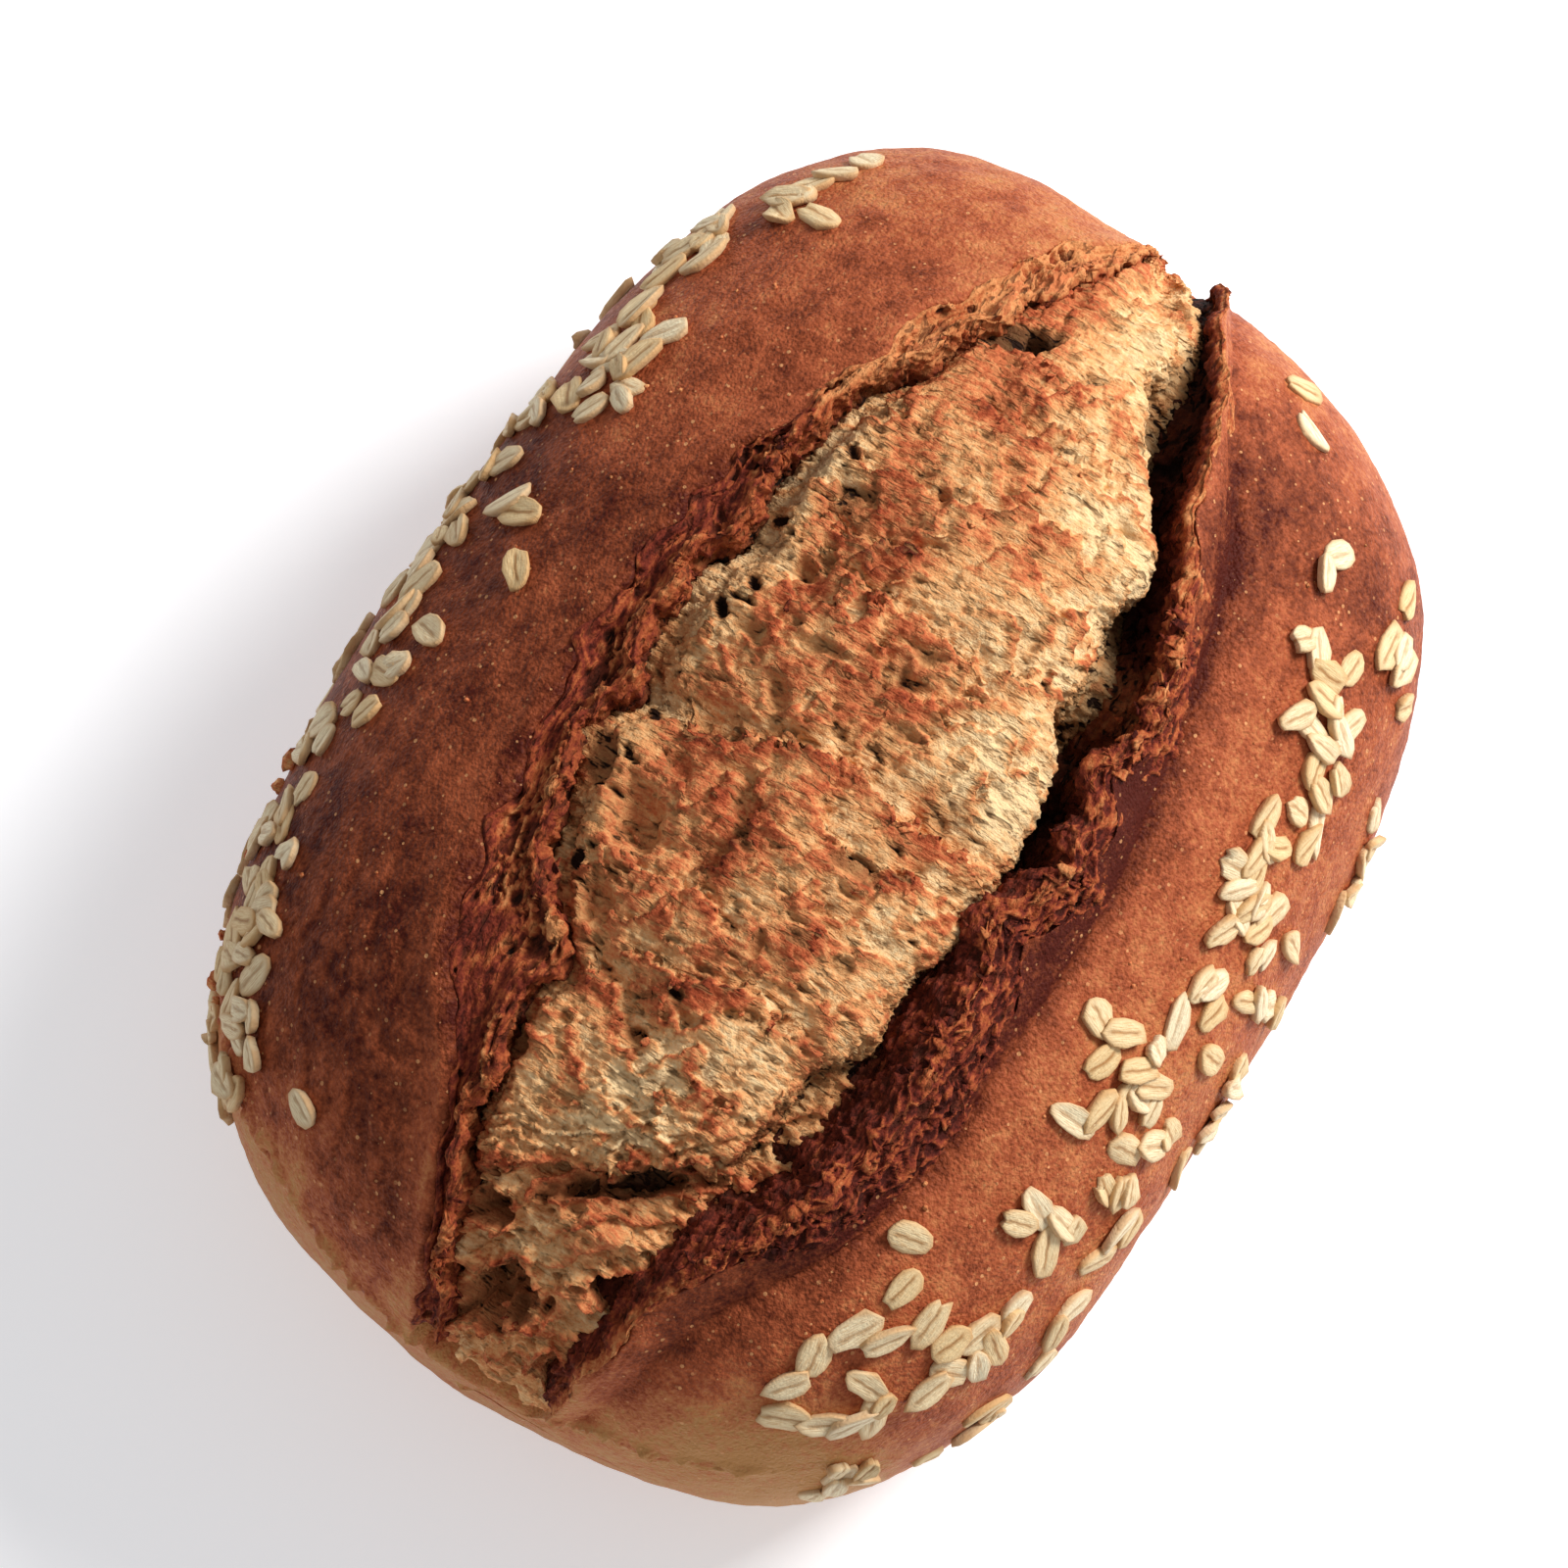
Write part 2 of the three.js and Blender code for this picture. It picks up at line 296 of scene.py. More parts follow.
def unit(vectors: Array) -> Array:
    """The vectors made one long."""
    return vectors / np.maximum(np.linalg.norm(vectors, axis=-1, keepdims=True), 1e-9)


# ---- Meshes ----


def grid_faces(index: Array) -> Array:
    """The quads between neighbours in a grid of point numbers."""
    return np.stack([index[:-1, :-1], index[:-1, 1:], index[1:, 1:], index[1:, :-1]], -1).reshape(-1, 4)


def fan_faces(middle: int, ring: Array, turn: int) -> Array:
    """The triangles from one point to the steps of a ring, turned round by a turn of -1."""
    return np.stack([np.full(len(ring) - 1, middle), ring[:-1], ring[1:]], -1)[:, ::turn]


def capped_rings(rings: int, sectors: int) -> tuple[Array, Array]:
    """The quads and triangles of a closed shape: point 0, rings of points, and one last point."""
    index = 1 + np.arange(sectors + 1) % sectors + sectors * np.arange(rings)[:, None]
    fans = [fan_faces(0, index[0], -1), fan_faces(1 + rings * sectors, index[-1], 1)]
    return grid_faces(index), np.concatenate(fans)


def outwards(points: Array, quads: Array, triangles: Array) -> tuple[Array, Array]:
    """Turns every face of a closed surface round if its volume, summed from its middle, is negative.

    Args:
        points: the surface's points.
        quads: its four-cornered faces.
        triangles: its three-cornered faces.

    Returns:
        Both lists of faces, pointing outwards.
    """
    flat = np.concatenate([quads[:, [0, 1, 2]], quads[:, [0, 2, 3]], triangles])
    a, b, c = ((points - points.mean(0))[flat[:, i]] for i in range(3))
    if np.einsum("ij,ij->", a, np.cross(b, c)) < 0:
        return quads[:, ::-1], triangles[:, ::-1]
    return quads, triangles


def make_piece(name: str, points: Array, quads: Array, triangles: Array, finish: bpy.types.Material,
               tones: dict[str, Array], copies: int = 1) -> bpy.types.Object:
    """Makes one smooth closed mesh object from whole arrays, and lets it ride on the loaf's body.

    Args:
        name: the piece's name.
        points: its points in mm, in the row frame.
        quads: its four-cornered faces, or those of one copy.
        triangles: its three-cornered faces, or those of one copy.
        finish: its material.
        tones: what the material reads at each point, one number or a vector, by name.
        copies: how many shapes with the same faces the points hold, one after the other.

    Returns:
        The object.
    """
    shift = len(points) // copies * np.arange(copies)[:, None, None]
    quads, triangles = outwards(points, *((f[None] + shift).reshape(-1, f.shape[1]) for f in (quads, triangles)))
    mesh = bpy.data.meshes.new(name)
    corners = np.concatenate([quads.ravel(), triangles.ravel()]).astype(np.int32)
    starts = np.concatenate([np.arange(len(quads)) * 4, 4 * len(quads) + np.arange(len(triangles)) * 3])
    mesh.vertices.add(len(points))
    mesh.vertices.foreach_set("co", (points * 0.001).astype(np.float32).ravel())
    mesh.loops.add(len(corners))
    mesh.loops.foreach_set("vertex_index", corners)
    mesh.polygons.add(len(starts))
    mesh.polygons.foreach_set("loop_start", starts.astype(np.int32))
    mesh.polygons.foreach_set("use_smooth", np.ones(len(starts), bool))
    mesh.update(calc_edges=True)
    for key, values in tones.items():
        kind, field_name = ("FLOAT_VECTOR", "vector") if values.ndim == 2 else ("FLOAT", "value")
        data = mesh.attributes.new(key, kind, "POINT").data
        data.foreach_set(field_name, values.astype(np.float32).ravel())
    mesh.materials.append(finish)
    piece = bpy.data.objects.new(name, mesh)
    bpy.context.scene.collection.objects.link(piece)
    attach(piece, "root")
    log.info("%s: %d triangles", name, 2 * len(quads) + len(triangles))
    return piece


# ---- Colours and nodes ----


def linear(colour: int) -> tuple[float, float, float, float]:
    """An sRGB hex colour as linear red, green, blue and a full alpha."""
    parts = [(colour >> shift & 255) / 255 for shift in (16, 8, 0)]
    return tuple(p / 12.92 if p <= 0.04045 else ((p + 0.055) / 1.055) ** 2.4 for p in parts) + (1.0,)


def add_node(tree: bpy.types.NodeTree, kind: str, settings: dict | None = None,
             links: dict | None = None) -> bpy.types.Node:
    """Adds one node.

    Args:
        tree: the material's nodes.
        kind: the node's type, without the word ShaderNode in front.
        settings: its properties by name, its sockets' values by name or number, and under "stops"
            a ramp's places with their hex colours or plain numbers.
        links: what feeds each socket, by the socket's name or number: an output, or a node for its first.

    Returns:
        The node.
    """
    node = tree.nodes.new("ShaderNode" + kind)
    for key, value in (settings or {}).items():
        if key == "stops":
            marks = node.color_ramp.elements
            while len(marks) < len(value):
                marks.new(0.5)
            for mark, (place, colour) in zip(marks, value):
                mark.position = place
                mark.color = linear(colour) if isinstance(colour, int) else (colour, colour, colour, 1.0)
        elif isinstance(key, str) and hasattr(node, key):
            setattr(node, key, value)
        else:
            node.inputs[key].default_value = value
    for key, source in (links or {}).items():
        tree.links.new(source.outputs[0] if isinstance(source, bpy.types.Node) else source, node.inputs[key])
    return node


def new_material(name: str) -> tuple[bpy.types.Material, Callable[..., bpy.types.Node]]:
    """An empty material with that name, and add_node for its nodes."""
    material = bpy.data.materials.new(name)
    material.use_nodes = True
    material.node_tree.nodes.clear()
    return material, partial(add_node, material.node_tree)


@dataclass(frozen=True)
class BrownedCrust:
    """Oven-browned wheat crust, steamed and then baked dry.

    It gives the eye a satin red-brown skin that goes darker where it stood higher, with a fine
    mottle, pale flour specks and tiny pores.
    """

    browns: tuple[int, ...] = (0xC08A54, 0xC0764A, 0xA65535, 0x7A3A22, 0x4C1B12)  # from pale to dark
    speck: int = 0xDDA06C
    mottle_mm: float = 4.5  # the blotches where the skin browned unevenly
    grain_mm: float = 0.9  # the fine mottle of a dried skin
    speck_mm: float = 1.3  # how far apart flour specks lie; each is up to 0.4 mm across
    pore_mm: float = 0.6

    def material(self) -> bpy.types.Material:
        """The node tree: bake plus two sizes of noise go through a ramp of browns, under specks.

        Returns:
            The material. It reads the attribute bake, 0 pale to 1 dark: the crust's bake, with painted shade on the +Y
            flank and along the crease.
        """
        material, add = new_material("browned crust")
        place = add("TexCoord").outputs["Object"]
        bake = add("Attribute", {"attribute_name": "bake"}).outputs["Fac"]
        tone = add("Math", {"operation": "SUBTRACT", 1: 0.8}, {0: bake})
        for mm, detail, rough in ((self.mottle_mm, 4.0, 0.62), (self.grain_mm, 2.0, 0.7)):
            grain = add("TexNoise", {"Scale": METRE / mm, "Detail": detail, "Roughness": rough}, {"Vector": place})
            tone = add("Math", {"operation": "MULTIPLY_ADD", 1: 0.8}, {0: grain, 2: tone})
        ramp = add("ValToRGB", {"stops": list(zip((0.0, 0.25, 0.5, 0.75, 1.0), self.browns))}, {0: tone})
        speck = add("TexVoronoi", {"Scale": METRE / self.speck_mm}, {"Vector": place})
        draw = add("SeparateColor", {}, {0: speck.outputs["Color"]})
        reach = add("Math", {"operation": "MULTIPLY_ADD", 1: 0.34, 2: -0.07}, {0: draw})
        inside = add("Math", {"operation": "LESS_THAN"}, {0: speck, 1: reach})
        faint = add("Math", {"operation": "MULTIPLY", 1: 0.8}, {0: draw.outputs[1]})
        share = add("Math", {"operation": "MULTIPLY"}, {0: inside, 1: faint})
        dotted = add("Mix", {"data_type": "RGBA", 7: linear(self.speck)}, {0: share, 6: ramp})
        shine = add("MapRange", {"To Min": 0.4, "To Max": 0.62}, {"Value": grain})
        pore = add("TexVoronoi", {"Scale": METRE / self.pore_mm}, {"Vector": place})
        relief = add("Math", {"operation": "MULTIPLY_ADD", 1: 0.4}, {0: pore, 2: grain})
        bump = add("Bump", {"Strength": 0.9, "Distance": 0.0005}, {"Height": relief})
        shader = add("BsdfPrincipled", {"IOR": 1.4, "Specular IOR Level": 0.1},
                     {"Base Color": dotted.outputs[2], "Roughness": shine, "Normal": bump})
        add("OutputMaterial", {}, {"Surface": shader})
        return material


@dataclass(frozen=True)
class TornCrumb:
    """Wheat crumb that tore open as the loaf rose, and toasted in the oven's heat.

    It gives the eye a matte, fibrous cream that goes orange and red-brown on its raised edges, and
    brown-grey painted shade in its recesses.
    """

    name: str = "torn crumb"
    # Thin lit fibres, cream, tan, orange, russet and char.
    toasts: tuple[int, ...] = (0xF5D29F, 0xEFC28C, 0xE3A269, 0xCB7247, 0xA34A2B, 0x5E2415)
    # The next two colours are painted shade: crumb in shade in its recesses, and near black in the deepest places.
    hollow: int = 0xAA7B4D
    pit: int = 0x24130A
    grain_mm: float = 0.55  # the crumb's finest cells
    fibre_mm: tuple[float, float, float] = (0.8, 3.4, 1.6)  # drawn-out fibres run across the loaf
    # The slits are cut into the bump and darkened with painted shade in the material.
    slit_mm: tuple[float, float, float] = (1.1, 3.6, 2.4)  # dark slits between the fibres

    def material(self) -> bpy.types.Material:
        """The node tree: toast with two noises goes through a ramp, and painted shade from the attribute and the slits
        mixes in dark tones.

        Returns:
            The material. It reads the attributes toast, 0 cream to 1 char, and hollow, the painted shade from 0 to 1.
        """
        material, add = new_material(self.name)
        place = add("TexCoord").outputs["Object"]
        toast, hollow = (add("Attribute", {"attribute_name": key}).outputs["Fac"] for key in ("toast", "hollow"))
        drawn, narrow = (add("Mapping", {"Scale": tuple(METRE / mm for mm in size)}, {"Vector": place})
                         for size in (self.fibre_mm, self.slit_mm))
        fibre = add("TexNoise", {"Scale": 1.0, "Detail": 3.0, "Roughness": 0.65}, {"Vector": drawn})
        torn = add("TexNoise", {"Scale": 1.0, "Detail": 2.0, "Roughness": 0.55, "Distortion": 0.6}, {"Vector": narrow})
        grain = add("TexNoise", {"Scale": METRE / self.grain_mm, "Detail": 2.0, "Roughness": 0.6}, {"Vector": place})
        tone = add("Math", {"operation": "SUBTRACT", 1: 0.68}, {0: toast})
        tone = add("Math", {"operation": "MULTIPLY_ADD", 1: 0.95}, {0: fibre, 2: tone})
        tone = add("Math", {"operation": "MULTIPLY_ADD", 1: 0.42}, {0: grain, 2: tone})
        ramp = add("ValToRGB", {"stops": list(zip((0.0, 0.12, 0.33, 0.56, 0.78, 1.0), self.toasts))}, {0: tone})
        # Painted shade: the attribute plus the slits between the fibres mix the colour towards the shade colours, near
        # black where their sum is highest.
        slit = add("MapRange", {"From Min": 0.45, "From Max": 0.33, "To Max": 0.5}, {"Value": torn})
        dim = add("Math", {"operation": "ADD"}, {0: hollow, 1: slit})
        shaded = add("ValToRGB", {"stops": [(0.0, 0.0), (0.4, 0.6), (0.9, 1.0)]}, {0: dim})
        depth = add("ValToRGB", {"stops": [(0.0, self.hollow), (0.3, self.hollow), (0.9, self.pit)]}, {0: dim})
        colour = add("Mix", {"data_type": "RGBA"}, {0: shaded, 6: ramp, 7: depth})
        relief = add("Math", {"operation": "MULTIPLY_ADD", 1: 0.6}, {0: grain, 2: fibre})
        relief = add("Math", {"operation": "SUBTRACT"}, {0: relief, 1: slit})
        bump = add("Bump", {"Strength": 0.9, "Distance": 0.0006}, {"Height": relief})
        shader = add("BsdfPrincipled", {"IOR": 1.4, "Specular IOR Level": 0.2, "Roughness": 0.82},
                     {"Base Color": colour.outputs[2], "Normal": bump})
        add("OutputMaterial", {}, {"Surface": shader})
        return material


@dataclass(frozen=True)
class RolledOat:
    """Oat groats steamed and rolled flat, baked dry on the crust.

    It gives the eye a pale matte cream with a tan crease down the middle and tan edges.
    """

    cream: int = 0xF7E9C6
    straw: int = 0xE4C794
    crease: int = 0x9C6A38
    edge: int = 0xC08A50
    line_mm: float = 0.45  # fine lines along the groat

    def material(self) -> bpy.types.Material:
        """The node tree: each flake's own draw picks its cream, and its own coordinates place the crease.

        Returns:
            The material. It reads the attribute flake: along, across and the draw.
        """
        material, add = new_material("rolled oats")
        own = add("Attribute", {"attribute_name": "flake"}).outputs["Vector"]
        place = add("TexCoord").outputs["Object"]
        along, across, draw = add("SeparateXYZ", {}, {0: own}).outputs
        base = add("Mix", {"data_type": "RGBA", 6: linear(self.cream), 7: linear(self.straw)}, {0: draw})
        stretched = add("Mapping", {"Scale": (1.4, 9.0, 7.0)}, {"Vector": own})
        lines = add("TexNoise", {"Scale": 1.6, "Detail": 2.0}, {"Vector": stretched})
        wave = add("TexNoise", {"Scale": 1.3, "Detail": 1.0}, {"Vector": own})
        bent = add("Math", {"operation": "MULTIPLY_ADD", 1: 0.5}, {0: wave, 2: across})
        off = add("Math", {"operation": "SUBTRACT", 1: 0.25}, {0: bent})
        off = add("Math", {"operation": "ABSOLUTE"}, {0: off})
        crease = add("MapRange", {"From Min": 0.02, "From Max": 0.2, "To Min": 0.95, "To Max": 0.0}, {"Value": off})
        bold = add("Math", {"operation": "MULTIPLY_ADD", 1: 0.5, 2: 0.5}, {0: draw})
        far = add("Math", {"operation": "ABSOLUTE"}, {0: along})
        short = add("MapRange", {"From Min": 0.55, "From Max": 0.85, "To Min": 1.0, "To Max": 0.0}, {"Value": far})
        for share in (bold, short):
            crease = add("Math", {"operation": "MULTIPLY"}, {0: crease, 1: share})
        creased = add("Mix", {"data_type": "RGBA", 7: linear(self.crease)}, {0: crease, 6: base.outputs[2]})
        flat = add("CombineXYZ", {}, {0: along, 1: across})
        radius = add("VectorMath", {"operation": "LENGTH"}, {0: flat}).outputs["Value"]
        rim = add("MapRange", {"From Min": 0.66, "From Max": 1.0, "To Min": 0.0, "To Max": 0.7}, {"Value": radius})
        lined = add("MapRange", {"From Min": 0.42, "From Max": 0.7, "To Min": 0.0, "To Max": 0.6}, {"Value": lines})
        both = add("Math", {"operation": "MAXIMUM"}, {0: rim, 1: lined})
        edged = add("Mix", {"data_type": "RGBA", 7: linear(self.edge)}, {0: both, 6: creased.outputs[2]})
        dust = add("TexNoise", {"Scale": METRE / self.line_mm, "Detail": 2.0}, {"Vector": place})
        height = add("Math", {"operation": "ADD"}, {0: lines, 1: dust})
        bump = add("Bump", {"Strength": 0.5, "Distance": 0.0003}, {"Height": height})
        shader = add("BsdfPrincipled", {"IOR": 1.45, "Specular IOR Level": 0.3, "Roughness": 0.62},
                     {"Base Color": edged.outputs[2], "Normal": bump})
        add("OutputMaterial", {}, {"Surface": shader})
        return material


@dataclass(frozen=True)
class StudioPaper:
    """White seamless background paper with a painted glow of its own, which keeps the loaf's shadow faint."""

    white: int = 0xF4F5F8
    # The glow is painted light: the paper gives off light of its own, which lifts the loaf's shadow on it.
    glow: float = 0.39

    def material(self) -> bpy.types.Material:
        """A diffuse white with a faint noise in it and a little painted glow of its own.

        Returns:
            The material.
        """
        material, add = new_material("studio paper")
        place = add("TexCoord").outputs["Object"]
        fleck = add("TexNoise", {"Scale": 400.0, "Detail": 1.0}, {"Vector": place})
        tint = add("MapRange", {"To Min": 0.985, "To Max": 1.0}, {"Value": fleck})
        white = linear(self.white)
        colour = add("Mix", {"data_type": "RGBA", 6: (0.0, 0.0, 0.0, 1.0), 7: white}, {0: tint})
        shader = add("BsdfPrincipled", {"Roughness": 0.95, "Specular IOR Level": 0.0, "Emission Color": white,
                                        "Emission Strength": self.glow}, {"Base Color": colour.outputs[2]})
        add("OutputMaterial", {}, {"Surface": shader})
        return material


# ---- The dough's form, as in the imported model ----


@dataclass(frozen=True)
class Dough:
    """The smooth loaf. phi is a station, 0 at the +X end to 180 degrees at the -X end, and theta a line
    from end to end, 0 at the widest level on the -Y side, 90 on top and 180 on the +Y side."""

    half_length: float = 105.0
    half_width: float = 76.5
    dome_height: float = 89.0
    waist_height: float = 33.0
    base_trim: float = 6.0
    shift_x: float = -1.2
    shift_y: float = -0.3
    far_draw: tuple[float, float] = (11.0, -5.0)  # +X corners: on the +Y side, on the -Y side
    near_draw: tuple[float, float] = (6.0, 3.0)  # -X corners
    plan_power: float = 3.1
    crown_power: float = 2.8
    belly_power: float = 5.0
    roof_power: float = 2.3
    flank_power: float = 3.4
    dent: float = 0.8  # how deep the slow dents are

    def dents(self, points: Array) -> Array:
        """Slow dents that crust and torn sheets share, in mm."""
        return self.dent * hills(points, 26, 11, 1)

    @staticmethod
    def outline(angle: Array, power: float | Array) -> tuple[Array, Array]:
        """The point of a rounded outline of half size 1 in an angle's direction.

        Its distance is (|cos|^power + |sin|^power) to the power -1/power.

        Args:
            angle: the direction in radians.
            power: 2 for an ellipse, more for a squarer outline.

        Returns:
            Its two coordinates.
        """
        c, s = np.cos(angle), np.sin(angle)
        reach = (np.abs(c) ** power + np.abs(s) ** power) ** (-1 / power)
        return reach * c, reach * s

    @staticmethod
    def remaining(share: Array, power: float) -> Array:
        """How far across a rounded outline still reaches: (1 - |share|^power)^(1/power)."""
        return np.maximum(0.0, 1 - np.abs(share) ** power) ** (1 / power)

    def at(self, phi: Array, theta: Array) -> Array:
        """The smooth surface: a rounded plan times a rounded cross-section, with slow swellings.

        Args:
            phi: the station in radians.
            theta: the line in radians.

        Returns:
            Points in mm.
        """
        phi, theta = np.broadcast_arrays(phi, theta)
        along, _ = self.outline(phi, self.plan_power)
        upper = np.sin(theta) >= 0
        across, up = self.outline(theta, np.where(upper, self.roof_power, self.flank_power))
        roof = (self.dome_height - self.waist_height) * self.remaining(along, self.crown_power)
        belly = (self.waist_height + self.base_trim) * self.remaining(along, self.belly_power)
        long = 0.9 * np.sin(3 * phi + 1.1) * np.sin(2 * theta + 0.4)
        short = 0.5 * np.sin(7 * phi - 0.6) * np.cos(3 * theta + 0.8)
        swell = 1 + np.sin(phi) ** 2 * (long + short) / self.half_width
        side = -across * self.remaining(along, self.plan_power) * swell
        plus = side > 0
        draw = np.where(along > 0, np.where(plus, *self.far_draw), np.where(plus, *self.near_draw))
        return np.stack([
            self.half_length * along + draw * along**2 * np.abs(side) + self.shift_x,
            self.half_width * side + self.shift_y,
            self.waist_height + np.where(upper, roof, belly) * up * swell,
        ], axis=-1)

    def outward(self, phi: Array, theta: Array) -> Array:
        """The outward direction: the step in theta crossed with the step in phi, made one long."""
        step = 1e-3
        along = self.at(phi + step, theta) - self.at(phi - step, theta)
        around = self.at(phi, theta + step) - self.at(phi, theta - step)
        return unit(np.cross(around, along))

    def roof_angle(self, part: Array) -> Array:
        """The line angle at which a station reaches a part of its half width, -1 at -Y to 1 at +Y."""
        return np.arctan2(self.remaining(part, self.roof_power), -part)

    def stations(self, start: float, end: float, count: int) -> Array:
        """Stations spaced evenly by length along the ridge, which is the line at 90 degrees.

        Args:
            start: the first station in degrees.
            end: the last one.
            count: how many there are.

        Returns:
            The stations in radians.
        """
        fine = np.radians(np.linspace(start, end, 4000))
        ridge = self.at(fine, np.full_like(fine, np.pi / 2))
        length = np.concatenate([[0], np.cumsum(np.linalg.norm(np.diff(ridge, axis=0), axis=1))])
        return np.interp(np.linspace(0, length[-1], count), length, fine)


def wander(degrees: Array, sizes: tuple[tuple[float, float], ...], seed: int) -> Array:
    """A ragged line: hills of several sizes along the stations, added up.

    Args:
        degrees: the stations.
        sizes: each hill's length in degrees and its height.
        seed: picks the hills.

    Returns:
        The line's stray at each station.
    """
    total = np.zeros_like(degrees)
    for i, (length, height) in enumerate(sizes):
        spots = np.stack([degrees / length, np.full_like(degrees, 0.37 + i), np.zeros_like(degrees)], -1)
        total += height * gradient_noise(spots, seed + i)
    return total


@dataclass(frozen=True)
class Tear:
    """Where the lines of the tear lie and how far its parts rise and sink, every 15 degrees from 15 to 165.

    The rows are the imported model's. The jogs are short changes along a line, each a station, a half
    width in degrees and how much it adds, which the model's few faces can't show.
    """

    crease: tuple = (-0.5, -0.34, -0.35, -0.5, -0.58, -0.63, -0.62, -0.6, -0.48, -0.54, -0.75)
    ear: tuple = (-0.35, -0.25, -0.3, -0.39, -0.5, -0.49, -0.49, -0.48, -0.34, -0.4, -0.6)
    crumb_edge: tuple = (-0.1, -0.06, -0.07, -0.26, -0.35, -0.42, -0.37, -0.29, -0.18, -0.17, -0.25)
    rim: tuple = (0.08, 0.04, 0.1, 0.26, 0.37, 0.41, 0.37, 0.24, 0.18, 0.1, 0.12)
    lip: tuple = (0.2, 0.11, 0.14, 0.28, 0.44, 0.51, 0.5, 0.43, 0.25, 0.22, 0.35)
    ear_cleft: tuple = (0, 4, 8, 15, 15, 13, 12, 11, 7, 4, 0)
    rim_cleft: tuple = (0, 1, 3, 5, 5, 4, 4, 5, 6, 4, 0)
    ear_rise: tuple = (0, 2, 3, 4, 4, 3.5, 3, 3, 2.5, 1.5, 0)
    crumb_rise: tuple = (0, -3, -1, 3, 4, 4, 4, 2, -3, -3, 0)
    skin: tuple = (0.012, 0.006, 0.006, 0.012, 0.03, 0.075, 0.1, 0.085, 0.02, 0.01, 0.012)
    jogs: dict = field(default_factory=lambda: {
        "rim": ((65, 3, 0.03), (80, 3, -0.06), (95, 2, -0.06), (100, 1.8, 0.03), (116, 3, -0.08)),
        "crumb_edge": ((40, 10, -0.13), (65.5, 3.5, -0.06), (79, 3, 0.04), (109, 3, -0.045)),
        "lip": ((45, 8, 0.12), (57, 5, 0.08), (68, 5, -0.04), (76, 5, 0.04), (127, 5, -0.03)),
        "rim_cleft": ((50, 9, -2.6),),
        "ear": ((82, 2, 0.055), (90, 1.5, -0.03), (97, 2.5, 0.045)),
        "ear_cleft": ((44, 9, -4.5), (60, 4, 3.0), (74, 4.5, -9.5), (89, 4, 3.0), (102, 4, -3.0), (112, 4, -2.0)),
    })

    def row(self, name: str, degrees: Array) -> Array:
        """A smooth curve through one row, with its jogs: a cubic whose slopes are central differences.

        Args:
            name: the row.
            degrees: the stations.

        Returns:
            Its value at each station.
        """
        row = np.asarray(getattr(self, name), float)
        place = np.clip(degrees / 15 - 1, 0, len(row) - 1)
        at = np.minimum(np.floor(place).astype(int), len(row) - 2)
        t = place - at
        slope = np.gradient(row)
        bend = t * (1 - t)
        value = mix(row[at], row[at + 1], t * t * (3 - 2 * t)) + bend * ((1 - t) * slope[at] - t * slope[at + 1])
        for middle, width, shift in self.jogs.get(name, ()):
            value = value + shift * bell(degrees, middle, width)
        return value

    def open(self, degrees: Array) -> Array:
        """How far the tear stands open, 0 at the ends and 1 where its left cleft is 3 mm deep."""
        return np.minimum(1.0, self.row("rim_cleft", degrees) / 3)

    def calm(self, degrees: Array) -> Array:
        """0 at both ends of the tear and 1 between them, where its lines may stray."""
        return smooth(degrees, 16, 32) * smooth(degrees, 159, 146)

    def ear_lines(self, degrees: Array) -> tuple[Array, Array]:
        """The ear's ragged edge, and behind it the line where its smooth skin ends."""
        calm = self.calm(degrees)
        edge = self.row("ear", degrees) + calm * wander(degrees, ((11, 0.03), (4.5, 0.022), (1.7, 0.009)), 51)
        return edge, edge - self.row("skin", degrees) - calm * wander(degrees, ((6, 0.012), (2.2, 0.01)), 57)

    def band_lines(self, degrees: Array) -> tuple[Array, Array]:
        """The band's ragged rim, and the line inside the lip where the smooth crust ends."""
        calm = self.calm(degrees)
        rim = self.row("rim", degrees) + calm * wander(degrees, ((10, 0.034), (4.0, 0.024), (1.5, 0.009)), 71)
        lip = np.maximum(self.row("lip", degrees) + calm * wander(degrees, ((11, 0.026), (4, 0.014)), 75), rim + 0.035)
        share = 0.82 + 0.3 * wander(degrees, ((8, 1.0), (3, 0.7)), 77)
        return rim, mix(rim, lip, np.clip(share, 0.5, 1.05))

    def ear_level(self, degrees: Array, part: Array) -> Array:
        """How high the ear's skin has rolled up at a part: an S-curve from the crease to the edge, in mm."""
        crease = self.row("crease", degrees)
        share = (part - crease) / np.maximum(self.ear_lines(degrees)[0] - crease, 0.02)
        return self.row("ear_rise", degrees) * smooth(share, 0.05, 0.95)

    def band_level(self, degrees: Array, part: Array) -> Array:
        """How high the crust lies at the lip, and how it sinks towards the band, in mm."""
        return self.open(degrees) * mix(1.0, -0.9, smooth(self.row("lip", degrees) - part, 0.0, 0.08))


def across_lines(values: Array, knots: Array, columns: int) -> Array:
    """Smooth curves across a set of lines: cubics through each row of values, even by the knots.

    Args:
        values: rows by lines.
        knots: how far across each line lies, rising from 0 to 1.
        columns: how many columns come out.

    Returns:
        Rows by columns.
    """
    v = np.linspace(0, 1, columns)
    at = np.clip(np.searchsorted(knots, v, side="right") - 1, 0, len(knots) - 2)
    width = knots[at + 1] - knots[at]
    t = (v - knots[at]) / width
    rise = np.diff(values, axis=1) / np.diff(knots)
    # Where the lines turn back, a flat slope keeps the curve from running past them.
    inner = 0.5 * (rise[:, 1:] + rise[:, :-1]) * (rise[:, 1:] * rise[:, :-1] > 0)
    slope = np.concatenate([rise[:, :1], inner, rise[:, -1:]], axis=1)
    a, b = values[:, at], values[:, at + 1]
    return (a * (1 + 2 * t) * (1 - t) ** 2 + b * t * t * (3 - 2 * t)
            + width * (slope[:, at] * t * (1 - t) ** 2 - slope[:, at + 1] * t * t * (1 - t)))


# ---- Crust ----


